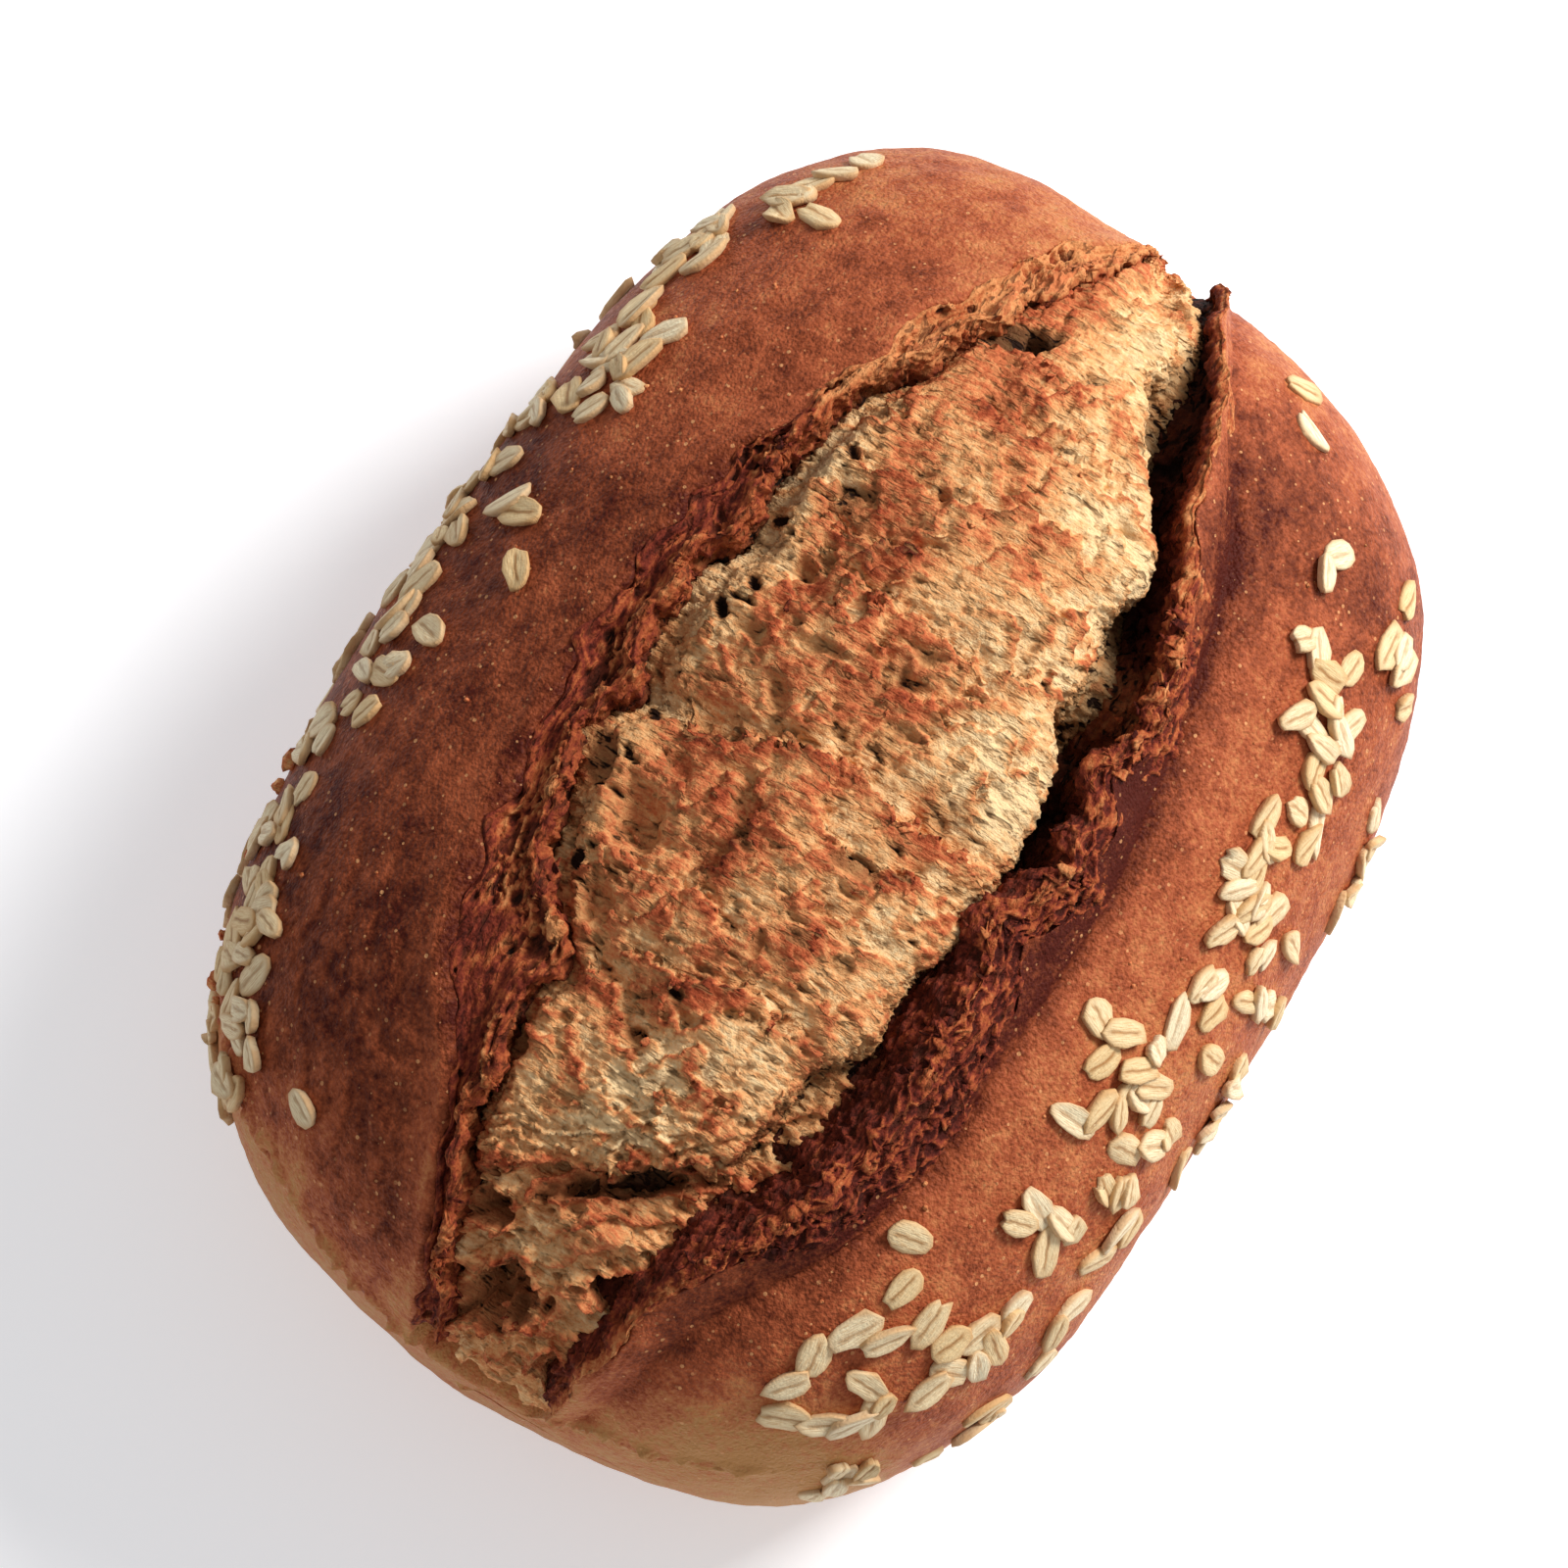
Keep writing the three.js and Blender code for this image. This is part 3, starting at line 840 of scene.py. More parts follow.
@dataclass
class CrustShell:
    """The browned skin all round, with a trough under the torn top for the torn sheets to lie in."""

    dough: Dough
    tear: Tear
    rows: int = 331
    columns: tuple[int, ...] = (22, 92, 24, 30, 102, 22)  # belly, side, ear, trough, side, belly
    trough_depth: float = 34.0
    seam_height: float = 49.0  # of the edge at the near end, below which the side stayed pale
    wrinkle_reach: float = 20.0  # how long the drawn skin's wrinkles are
    tone: float = 0.32  # how dark the crust is low down in the middle
    # How much darker it is elsewhere, and where: for each curve its axis and two numbers in mm.
    zones: tuple = (
        (0.14, ("z", 6, 62)),
        # The next two zones darken the upper +Y flank: partly its darker bake, partly painted shade for the flank that
        # faces away from the key light.
        (0.12, ("y", 0, 30), ("z", 26, 56)),
        (0.17, ("x", 60, 10), ("y", 0, 30), ("z", 26, 56)),
        (-0.1, ("x", 38, 14, bell), ("y", 30, 45)),
        (-0.26, ("x", -62, -88), ("z", 76, 58), ("y", 14, 36)),
        (0.26, ("y", -18, -36), ("x", 72, 22, bell)),
        (-0.06, ("y", -30, -50), ("x", -20, 34, bell)),
        (-0.16, ("x", 62, 96)),
        (-0.04, ("x", 40, 80), ("y", 10, 40)),
        (-0.12, ("x", -74, -98), ("z", 66, 46), ("y", 30, -20)),
        (-0.22, ("x", -78, -94), ("z", 72, 56)),
        (-0.2, ("x", -72, -88), ("y", -24, -38), ("z", 76, 62)),
        (-0.08, ("z", 22, 4)),
        (0.22, ("x", -77, 14.142, bell), ("y", -28, 14.142, bell)),
        (0.2, ("x", 46, 20, bell), ("y", -25, -33), ("y", -48, -40)),
        (-0.04, ("y", 0, 20), ("x", -66, -84)),
    )

    def relief(self, points: Array) -> Array:
        """How far the crust rises: slow dents, softer lumps and fine wrinkles, each a size of hills.

        Args:
            points: places on the smooth dough, in mm.

        Returns:
            Heights in mm.
        """
        lumps = 0.28 * hills(points, 8.5, 12, 2)
        fine = 0.11 * hills(points, (2.4, 2.4, 2.2), 13, 3, 0.6)
        return self.dough.dents(points) + lumps + fine

    def seam(self, points: Array) -> tuple[Array, Array]:
        """The pale side below the near end's edge, and the edge itself.

        Args:
            points: places on the smooth dough, in mm.

        Returns:
            How far a place belongs to the pale side, and how near it lies to the edge, from 0 to 1.
        """
        line = self.seam_height + 5.0 * zone(points, ("y", 10, 38))
        line = line + 2.2 * hills(points, 16, 21, 2) + 0.7 * hills(points, 4, 22, 2)
        near = zone(points, ("x", -58, -84), ("y", -58, -34))
        below = smooth(points[..., 2], line + 2.5, line - 1.8)
        return near * below, near * bell(points[..., 2], line + 1.2, 1.6)

    def bake(self, points: Array, low: Array, streaks: Array) -> Array:
        """How dark the crust is: more with height and on the +Y side, there partly painted shade, and less low down and
        near the base.

        Args:
            points: places in mm.
            low: how far each belongs to the near end's pale side.
            streaks: dark lines along the tear, from 0 to 1; the one along the crease is partly painted shade.

        Returns:
            0 for pale to 1 for dark.
        """
        tone = self.tone + sum(amount * zone(points, *curves) for amount, *curves in self.zones)
        mottled = 0.14 * hills(points, 24, 31, 2) + 0.13 * hills(points, 8, 32, 3, 0.65)
        tone = tone + mix(0.55, 1.0, zone(points, ("y", -12, 20))) * mottled + 0.3 * streaks
        return mix(tone, 0.13 + 0.1 * hills(points, 6, 33, 2), 0.9 * low)

    def surface(self, phi: Array, theta: Array) -> tuple[Array, Array]:
        """How far the crust rises from the smooth dough at any place, and how dark it is there.

        It sinks towards the crease and swells towards the lip, has an edge over the near end's pale
        side, and long wrinkles where the skin was drawn along the tear.

        Args:
            phi: stations in radians.
            theta: lines in radians.

        Returns:
            The rise in mm and the bake.
        """
        degrees, power = np.degrees(phi), self.dough.plan_power
        points = self.dough.at(phi, theta)
        reach = self.dough.half_width * self.dough.remaining(self.dough.outline(phi, power)[0], power)
        part = -self.dough.outline(theta, self.dough.roof_power)[0]
        edge, _ = self.tear.ear_lines(degrees)
        top, middle = np.sin(theta) > 0, 0.5 * (edge + self.tear.row("rim", degrees))
        ear_side, band_side = top & (part < middle), top & (part >= middle)
        crease = self.tear.row("crease", degrees)
        to_crease = np.where(ear_side, (crease - part) * reach, 99.0)
        to_lip = np.where(band_side, (part - self.tear.row("lip", degrees)) * reach, 99.0)
        opened = self.tear.open(degrees)
        valley = 1.5 * opened * np.exp(-np.where(to_crease > 0, to_crease / 3.5, -to_crease / 1.8))
        level = self.tear.ear_level(degrees, part) * ear_side
        level = level + self.tear.band_level(degrees, part) * band_side * np.exp(-np.maximum(to_lip, 0) / 4.0)
        low, seam = self.seam(points)
        lumpy = hills(points, (2.4, 2.4, 2.0), 48, 3, 0.6)
        rise = self.relief(points) + seam * (0.8 + 1.1 * lumpy) - 0.7 * low + level - valley
        along = points[..., 0]
        stretched = along / self.wrinkle_reach
        beside = np.exp(-np.maximum(to_crease, 0) / 7.0) * smooth(to_crease, 60, 40)
        drawn = ridges(np.stack([stretched, to_crease / 1.7 + hills(points, 9, 47, 1), 0 * part], -1), 1.0, 41, 2)
        lip_side = np.exp(-np.maximum(to_lip, 0) / 4.5) * smooth(to_lip, 60, 40)
        pulled = ridges(np.stack([stretched, to_lip / 2.8, 0 * part], -1), 1.0, 43, 2)
        wrinkles = ridges(points + 2.5 * hills(points, 9, 46, 1)[..., None], (10, 4.5, 5), 45, 2)
        wrinkled = zone(points, ("x", -30, -62), ("y", 0, 16), ("z", 40, 62)) * smooth(to_lip, 0, 6)
        rise = rise - 0.3 * beside * drawn + 0.25 * lip_side * pulled - 0.35 * wrinkled * smooth(wrinkles, 0.45, 0.95)
        streaks = 0.55 * beside * smooth(drawn, -0.3, 0.6)
        # The next line is a dark line along the crease under the lifted ear: partly the crust's darker bake there,
        # partly painted shade in the crease.
        streaks = streaks + 0.6 * bell(to_crease, 0.2, 1.6) * opened * smooth(degrees, 134, 118)
        streaks = streaks + 0.5 * np.exp(-np.maximum(to_lip, 0) / 7.0) * (smooth(pulled, 0.6, -0.4) - 0.4)
        streaks = streaks + 0.5 * wrinkled * smooth(wrinkles, 0.35, 0.9)
        tone = self.bake(points, low, streaks) - 0.2 * seam + 0.5 * seam * smooth(lumpy, -0.15, -0.55)
        frayed = smooth(along, 40, 16) * smooth(along, -76, -60)
        tone = tone + opened * 0.4 * smooth(to_crease, 0.5, -1.5) * frayed
        tone = tone + opened * 0.25 * smooth(to_lip, 2, -4) * smooth(along, 60, 20)
        lifted = (part - crease) / np.maximum(edge - crease, 0.02)
        tone = tone - 0.16 * opened * ear_side * bell(lifted, 0.8, 0.35) * (1 - frayed)
        return rise, tone - 0.14 * bell(to_lip, 0.4, 0.6) * smooth(along, -25, -45)

    def grid(self) -> tuple[Array, Array]:
        """Rings round the loaf. The trough sinks by a rounded step between the crease and the lip.

        Returns:
            The points and the bake.
        """
        phi = self.dough.stations(0, 180, self.rows)[1:-1]
        degrees = np.degrees(phi)
        torn = smooth(degrees, 15, 27) * smooth(degrees, 166, 154)
        ear, band = self.tear.ear_lines(degrees)[1], self.tear.band_lines(degrees)[1]
        parts = (self.tear.row("crease", degrees), ear, ear - 0.1 * torn, band + 0.07 * torn, band)
        crease, ear, under_ear, under_band, band = map(self.dough.roof_angle, parts)
        quarter = np.full_like(phi, np.pi / 2)
        knots = [  # from, to, and whether the last column reaches the end
            (-quarter, 0 * phi, 0), (0 * phi, crease, 0), (crease, ear, 1),
            (under_ear, under_band, 1), (band, 2 * quarter, 0), (2 * quarter, 3 * quarter, 0),
        ]
        spans = [a[:, None] + (b - a)[:, None] * np.arange(count) / (count - closed)
                 for (a, b, closed), count in zip(knots, self.columns)]
        theta = np.concatenate(spans, axis=1)
        station = np.broadcast_to(phi[:, None], theta.shape)
        begin, count = sum(self.columns[:3]), self.columns[3]
        inside = np.zeros(theta.shape[1])
        inside[begin:begin + count] = 0.4 + 0.6 * np.sin(np.pi * np.arange(count) / (count - 1)) ** 0.6
        rise, tone = self.surface(station, theta)
        rise = rise - self.trough_depth * inside * torn[:, None]
        points = self.dough.at(station, theta) + self.dough.outward(station, theta) * rise[..., None]
        points[..., 2] = np.maximum(points[..., 2], 0.0)
        return points, tone

    def build(self, finish: bpy.types.Material) -> bpy.types.Object:
        """Closes the rings with a point at each end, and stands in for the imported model's node.

        Args:
            finish: the crust's material.

        Returns:
            The piece.
        """
        points, tone = self.grid()
        rows, columns = tone.shape
        wrapped = np.arange(rows * columns).reshape(rows, columns)
        wrapped = np.concatenate([wrapped, wrapped[:, :1]], axis=1)
        ends = self.dough.at(np.array([0.0, np.pi]), np.array([0.0, 0.0]))
        fans = [fan_faces(rows * columns, wrapped[0], -1), fan_faces(rows * columns + 1, wrapped[-1], 1)]
        tones = np.concatenate([tone.ravel(), tone[[0, -1]].mean(1)])
        piece = make_piece("crust_shell", np.concatenate([points.reshape(-1, 3), ends]), grid_faces(wrapped),
                           np.concatenate(fans), finish, {"bake": tones})
        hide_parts("oat_loaf")
        return piece


# ---- Torn sheets ----


@dataclass(frozen=True)
class Alveolus:
    """A large smooth bubble that tore open: a shallow oval bowl with a thin toasted rim."""

    phi: float  # its station in degrees
    part: float  # its place across, as a part of the half width
    long: float  # half lengths across and along the loaf
    short: float
    depth: float
    turn: float = 0.0  # degrees from the loaf's cross direction
    # gloom is the painted shade inside the bowl.
    gloom: float = 0.35  # how dark it is inside


@dataclass
class TornSheet:
    """A torn surface between two lines of the tear, as a closed patch that tucks under its neighbours."""

    dough: Dough
    tear: Tear
    name: str
    start: float
    end: float
    rows: int
    columns: int
    under: float = 4.0  # how far its unseen underside lies below its edges
    dive: float = 5.0  # how far both ends sink under the crust
    lean: tuple[float, float, float] = (0.0, 1.0, 0.6)  # where its shreds point
    sparse: tuple[float, ...] = ()  # share of columns for the gap after each line, where few are seen
    alveoli: tuple[Alveolus, ...] = ()
    ragged: float = 0.22  # how far the bowls' rims stray, as a share of their size
    fringe: tuple = ()  # filled by build: points, normals, toast and how likely a shred grows there

    def lines(self, degrees: Array) -> list[tuple[Array, Array]]:
        """Each line across the sheet, in order: its part of the half width and its rise in mm."""
        raise NotImplementedError

    def relief(self, base: Array, normal: Array, degrees: Array, knots: Array) -> tuple[Array, Array, Array, Array]:
        """Moves the base grid's points and gives what the finish reads there.

        Args:
            base: the smooth grid in mm.
            normal: its outward directions.
            degrees: the station of each row.
            knots: how far across each line lies.

        Returns:
            The points, the toast, the painted shade and how likely a shred grows there.
        """
        raise NotImplementedError

    def base_grid(self) -> tuple[Array, Array, Array]:
        """The smooth grid through the lines: cubics across them, on the dough's surface raised by the rise.

        Returns:
            The points, each row's station in degrees, and how far across each line lies, 0 to 1.
        """
        phi = self.dough.stations(self.start, self.end, self.rows)
        degrees = np.degrees(phi)
        lines = self.lines(degrees)
        parts = np.stack([part for part, _ in lines], 1)
        sink = self.dive * (smooth(degrees, self.start + 6, self.start) + smooth(degrees, self.end - 5, self.end))
        rises = np.stack([rise for _, rise in lines], 1) - sink[:, None]
        middle = slice(self.rows // 4, 3 * self.rows // 4)
        station = np.broadcast_to(phi[:, None], parts.shape)
        theta = self.dough.roof_angle(parts)
        spots = self.dough.at(station, theta) + self.dough.outward(station, theta) * rises[..., None]
        step = np.linalg.norm(np.diff(spots[middle], axis=1), axis=-1).mean(0) + 0.3
        step[:len(self.sparse)] *= self.sparse
        knots = np.concatenate([[0], np.cumsum(step)]) / step.sum()
        part = across_lines(parts, knots, self.columns)
        rise = across_lines(rises, knots, self.columns)
        station = np.broadcast_to(phi[:, None], part.shape)
        theta = self.dough.roof_angle(part)
        smooth_dough = self.dough.at(station, theta)
        rise = rise + self.dough.dents(smooth_dough)
        return smooth_dough + self.dough.outward(station, theta) * rise[..., None], degrees, knots

    def bowls(self, x: Array, y: Array) -> tuple[Array, Array, Array]:
        """The alveoli: each is a bowl that sinks by an S-curve of r, the distance in half sizes.

        Args:
            x: places along the loaf in mm.
            y: places across it.

        Returns:
            Heights in mm, how much painted shade a place gets inside a bowl, and how near to a bowl's rim, 0 to 1.
        """
        height, inside, rim = np.zeros_like(x), np.zeros_like(x), np.zeros_like(x)
        for bowl in self.alveoli:
            middle = self.dough.at(math.radians(bowl.phi), self.dough.roof_angle(np.float64(bowl.part)))
            c, s = math.cos(math.radians(bowl.turn)), math.sin(math.radians(bowl.turn))
            u = ((y - middle[1]) * c + (x - middle[0]) * s) / bowl.long
            w = ((x - middle[0]) * c - (y - middle[1]) * s) / bowl.short
            r = np.hypot(u, w) + self.ragged * hills(np.stack([x, y, 0 * x + bowl.phi], -1), 3.4, 7, 2)
            height = height - bowl.depth * smooth(r, 1.0, 0.4)
            inside = np.maximum(inside, bowl.gloom * smooth(r, 1.0, 0.8))
            rim = np.maximum(rim, bell(r, 1.06, 0.1))
        return height, inside, rim

    def build(self, finish: bpy.types.Material) -> bpy.types.Object:
        """Relief on the top grid, then a ruled underside between its two long edges and a fan at each end.

        Args:
            finish: the sheet's material.

        Returns:
            The piece.
        """
        base, degrees, knots = self.base_grid()
        calmed = local_mean(base, 3)
        normal = unit(np.cross(np.gradient(calmed, axis=1), np.gradient(calmed, axis=0)))
        if normal[..., 2].mean() < 0:
            normal = -normal
        points, toast, hollow, chance = self.relief(base, normal, degrees, knots)
        rows, columns = toast.shape
        chance = np.broadcast_to(chance, toast.shape)
        self.fringe = (points.reshape(-1, 3), normal.reshape(-1, 3), toast.ravel(), chance.ravel())
        down = np.array([0.0, 0.0, -self.under])
        edges = np.stack([points[:, 0] + down, points[:, -1] + down], 1)
        vertices = np.concatenate([points.reshape(-1, 3), edges.reshape(-1, 3)])
        top = np.arange(rows * columns).reshape(rows, columns)
        low = rows * columns + np.arange(2 * rows).reshape(rows, 2)
        ring = np.concatenate([low[:, :1], top, low[:, 1:], low[:, :1]], axis=1)
        caps = [fan_faces(low[row, 0], np.concatenate([top[row], low[row, 1:]]), turn)
                for row, turn in ((0, -1), (-1, 1))]
        tones = {"toast": np.concatenate([toast.ravel(), np.full(2 * rows, 0.8)]),
                 "hollow": np.concatenate([np.clip(hollow, 0, 1).ravel(), np.ones(2 * rows)])}
        return make_piece(self.name, vertices, grid_faces(ring), np.concatenate(caps), finish, tones)


@dataclass
class LiftedEar(TornSheet):
    """The ear's torn edge: from under its skin over a frayed strip, and down its wall to the deep cleft."""

    name: str = "lifted_ear"
    start: float = 12.0
    end: float = 159.0
    rows: int = 720
    columns: int = 136
    lean: tuple[float, float, float] = (0.0, 1.0, 0.5)
    sparse: tuple[float, ...] = (0.4, 0.8, 1.5, 1.6, 1.6, 1.5, 1.1, 0.9, 0.8, 0.6, 0.4)

    def lines(self, degrees: Array) -> list[tuple[Array, Array]]:
        """From under the skin to the frayed edge, then the wall, which leans out in the near half, and the floor."""
        t = self.tear
        (ear, skin), edge = t.ear_lines(degrees), t.row("crumb_edge", degrees)
        cleft, level = t.row("ear_cleft", degrees), t.ear_level(degrees, skin)
        rise = t.row("ear_rise", degrees) + t.calm(degrees) * wander(degrees, ((7, 1.2), (2.6, 0.6)), 55)
        out = smooth(degrees, 82, 100)
        return [
            (skin - 0.05, level - 3.6),
            (skin - 0.02, level - 1.6),
            (skin + 0.004, level - 0.1),
            (mix(skin, ear, 0.5), 0.5 * (level + rise)),
            (ear - 0.01, rise),
            (ear + 0.008, rise - 0.9),
            (ear - 0.004 + 0.03 * out, 0.4 * rise - 0.15 * cleft - 0.6),
            (ear - 0.026 + 0.07 * out, -0.4 * cleft),
            (ear - 0.02 + 0.09 * out, -0.75 * cleft),
            (ear + 0.11 * out, -0.98 * cleft),
            (mix(ear, edge, 0.4) + 0.05 * out, -cleft - 1.5),
            (mix(ear, edge, 0.7) + 0.03 * out, -cleft - 6.0),
        ]

    def relief(self, base: Array, normal: Array, degrees: Array, knots: Array) -> tuple[Array, Array, Array, Array]:
        """A frayed strip in front of the skin, a wavy edge, and a rough wall whose painted shade deepens towards the
        cleft.

        Args:
            base: the smooth grid in mm.
            normal: its outward directions.
            degrees: the station of each row.
            knots: how far across each line lies.

        Returns:
            The points, the toast, the painted shade and how likely a shred grows there.
        """
        v = np.linspace(0, 1, base.shape[1])[None, :]
        x = base[..., 0]
        calm = (smooth(degrees, 22, 46) * smooth(degrees, 160, 146))[:, None]
        bent = base + 0.8 * hills(base, (6, 4, 4), 60, 2)[..., None]
        edge = bell(v, knots[4], 0.6 * (knots[6] - knots[3]))
        wall = smooth(v, knots[4], knots[6])
        rough = hills(bent, (3.2, 2.2, 2.2), 62, 3, 0.6)
        lumps = hills(base, (6.5, 5, 5), 66, 2)
        open_walls = lace(moved(bent, 1.6 * rough, 0.6 * rough), (4.2, 1.6, 2.0), 63, 0.3)
        frayed = (smooth(degrees, 62, 70) * smooth(degrees, 137, 127))[:, None]
        torn = smooth(hills(base, (15, 15, 15), 70, 1) + 0.35 * smooth(x, 10, -40), -0.25, 0.3) * frayed
        pores = gaps(bent, (2.2, 1.3, 1.4), 64, 0.35)
        frill = hills(base, (6.5, 14, 6), 65, 4, 0.62)
        strip = 0.7 * open_walls - 0.35 + 0.5 * rough + 0.5 * lumps - 0.8 * pores
        height = (1 - wall) * mix(0.12, mix(0.5, 0.9, torn), frayed) * strip
        height = height + edge * mix(0.12, mix(0.25, 0.9, torn), frayed) * frill
        torn_wall = 0.8 * rough + 0.9 * lumps + 1.1 * net(bent, (3, 2, 5), 67, 2) - 0.8 * gaps(bent, (2, 2, 3), 71, 0.5)
        height = height + wall * torn_wall
        fine = hills(base, 0.8, 68, 2)
        points = base + normal * ((height * mix(0.3, 1.0, calm) + 0.14 * fine)[..., None])
        points[..., 1] += edge * np.maximum(frill, -0.3) * mix(0.4, 1.5, torn) * calm
        crest = height - local_mean(height, 5)
        toast = 0.89 + 0.14 * hills(base, 7, 69, 3) - 0.24 * (1 - wall) * smooth(open_walls, 0.3, 1.0)
        toast = toast - 0.2 * np.clip(crest, -0.8, 0.9) - 0.16 * bell(v, knots[4], 0.5 * (knots[5] - knots[3]))
        toast = toast - 0.3 * (1 - frayed) * (1 - wall) + 0.1 * frayed * smooth(x, 20, -30)
        leaning = smooth(degrees, 82, 100)[:, None]
        toast = mix(toast, 0.74 + 0.25 * rough + 0.14 * lumps, wall * mix(0.85, 0.6, leaning))
        # Painted shade: in the strip's pores, and on the wall, more towards the cleft's floor and in its dips, less in
        # the near half where the wall leans out.
        gloom = mix(0.2, 0.05, leaning) + 0.5 * smooth(v, knots[7], knots[9]) + 0.2 * smooth(rough, 0.1, -0.6)
        hollow = 0.5 * pores * (1 - wall) + wall * gloom
        # Where crumb and ear nearly touch, near 74 degrees, the wall gets paler toast and less painted shade.
        bridge = bell(degrees, 74, 4.5)[:, None]
        toast = toast - 0.25 * bridge * wall
        hollow = hollow * (1 - 0.5 * bridge)
        chance = (edge + 0.25 * (1 - wall)) * smooth(torn, 0.3, 0.9) + 0.6 * wall * bridge
        return points, toast, hollow, chance * calm


@dataclass
class RoughBand(TornSheet):
    """The rough band on the +Y side: from the shallow cleft up over its frilled rim to the smooth crust's lip."""

    name: str = "rough_band"
    start: float = 12.0
    end: float = 159.0
    rows: int = 740
    columns: int = 132
    lean: tuple[float, float, float] = (0.0, -1.0, 0.5)
    sparse: tuple[float, ...] = (0.4, 0.6, 1.2, 1.6, 1.6, 1.4, 1.3, 1.3, 0.9, 0.5)

    def lines(self, degrees: Array) -> list[tuple[Array, Array]]:
        """Cleft floor, rim and the sunken band, and on under the crust's edge."""
        t = self.tear
        (rim, skin), edge = t.band_lines(degrees), t.row("crumb_edge", degrees)
        cleft, opened, level = t.row("rim_cleft", degrees), t.open(degrees), t.band_level(degrees, skin)
        end = rim - 0.2 * (rim - edge)
        up = t.calm(degrees) * wander(degrees, ((6, 1.0), (2.2, 0.5)), 79)
        return [
            (mix(end, rim, 0.9), -1.2 * cleft - 8.0),
            (mix(end, rim, 0.97), -1.1 * cleft - 3.0),
            (rim + 0.002, -0.8 * cleft - 0.6),
            (rim, -0.4 * cleft),
            (rim - 0.002, 1.3 * opened + up),
            (rim + 0.012, 1.6 * opened + up),
            (mix(rim, skin, 0.35), -0.3 * opened),
            (mix(rim, skin, 0.7), -0.6 * opened),
            (skin - 0.006, level + 0.1),
            (skin + 0.02, level - 1.6),
            (skin + 0.05, level - 3.6),
        ]

    def relief(self, base: Array, normal: Array, degrees: Array, knots: Array) -> tuple[Array, Array, Array, Array]:
        """A net of thin walls drawn along the loaf, pale streaks at the lip and an orange frill along the rim.

        Args:
            base: the smooth grid in mm.
            normal: its outward directions.
            degrees: the station of each row.
            knots: how far across each line lies.

        Returns:
            The points, the toast, the painted shade and how likely a shred grows there.
        """
        v = np.linspace(0, 1, base.shape[1])[None, :]
        x = base[..., 0]
        calm = (smooth(degrees, 15, 32) * smooth(degrees, 160, 146))[:, None]
        bent = base + 1.0 * hills(base, (6, 4, 4), 80, 2)[..., None]
        band = smooth(v, knots[4], knots[5]) * smooth(v, knots[10], knots[9])
        rim = bell(v, knots[4], 0.8 * (knots[5] - knots[3]))
        wall = smooth(v, knots[5], knots[3])
        far = smooth(x, 30, 58)
        drawn = ridges(np.stack([x / 15, v * 16 + 0.7 * hills(base, 9, 79, 2), 0 * x], -1), 1.0, 81, 3)
        rough = hills(bent, (3.4, 2.2, 2.4), 82, 3, 0.6)
        lumps = hills(base, (7, 5, 5), 86, 2)
        near_rim = smooth(v, knots[8], knots[5])
        bigger = smooth(hills(base, (7, 7, 7), 94, 1), -0.15, 0.15)
        frayed = moved(bent, 1.3 * rough, 0.7 * rough)
        open_walls = mix(lace(frayed, (3.4, 1.7, 2.4), 83, 0.34), lace(frayed, (7.0, 3.2, 4.0), 95, 0.2), bigger)
        lacy = hills(base, (13, 10, 10), 90, 2) + 0.5 * bell(x, -32, 20) - 0.5 * smooth(x, -46, -62) + 0.25 * near_rim
        lacy = smooth(lacy, 0.15, 0.55)
        holes_deep, holes_rim = cells(bent, (3.4, 2.0, 2.4), 84, 0.4, 0.5)
        torn = smooth(hills(base, (13, 13, 13), 91, 1), -0.2, 0.3)
        frill = hills(base, (6.0, 14, 6), 85, 4, 0.62)
        skin = 0.28 * drawn + 0.3 * rough + 0.3 * lumps - 0.9 * holes_deep
        torn_skin = 0.95 * open_walls - 0.75 + 0.45 * rough + 0.5 * lumps - 0.8 * holes_deep
        height = band * mix(skin, torn_skin, lacy) + rim * (mix(0.4, 1.0, torn) * frill + 0.4 * rough)
        height = height + wall * (0.8 * rough + 0.8 * lumps + 1.0 * net(bent, (2.6, 3.0, 4), 87, 2))
        fine = hills(base, 0.8, 88, 2)
        points = base + normal * ((height * mix(0.3, 1.0, calm) + mix(0.07, 0.16, lacy) * fine)[..., None])
        points[..., 1] -= rim * np.maximum(frill, -0.3) * mix(0.4, 1.6, torn) * calm
        crest = height - local_mean(height, 5)
        warm = smooth(hills(base, (12, 9, 9), 92, 2), -0.2, 0.4)
        toast = 0.9 + 0.1 * hills(base, 10, 89, 2) - 0.18 * np.clip(crest, -0.8, 1.0)
        toast = toast - band * mix(0.15 * smooth(drawn, 0.1, 0.9), 0.32 * open_walls, lacy) - 0.12 * band * holes_rim
        streaky = smooth(hills(base, (9, 6, 6), 93, 2), -0.25, 0.35)
        streaky = streaky * smooth(drawn, 0.25, 0.85) * bell(v, knots[7], 0.12)
        toast = toast - 0.22 * streaky * smooth(degrees, 70, 86)[:, None]
        toast = toast - 0.3 * rim * mix(0.5, 1.0, warm) - (0.6 + 0.2 * lumps - 0.25 * torn) * far
        toast = mix(toast, 0.46 + 0.28 * rough + 0.14 * warm, wall * 0.85)
        # Painted shade in the band's holes and between its open walls, and down its wall into the shallow cleft.
        hollow = 0.5 * holes_deep * band * (1 - wall)
        hollow = hollow + 0.35 * band * lacy * smooth(open_walls, 0.3, 0.0) * (1 - 0.6 * far)
        hollow = hollow + wall * (0.1 + 0.6 * smooth(v, knots[3], knots[1]))
        return points, toast, hollow, rim * smooth(torn, 0.3, 0.9) * calm


@dataclass(frozen=True)
class Scarp:
    """A ragged edge that the crumb tore along: a path in plan, beyond whose -X side the crumb drops."""

    path: tuple[tuple[float, float], ...]
    drop: float
    fade: float = 9.0  # how far beyond the edge the crumb comes back up


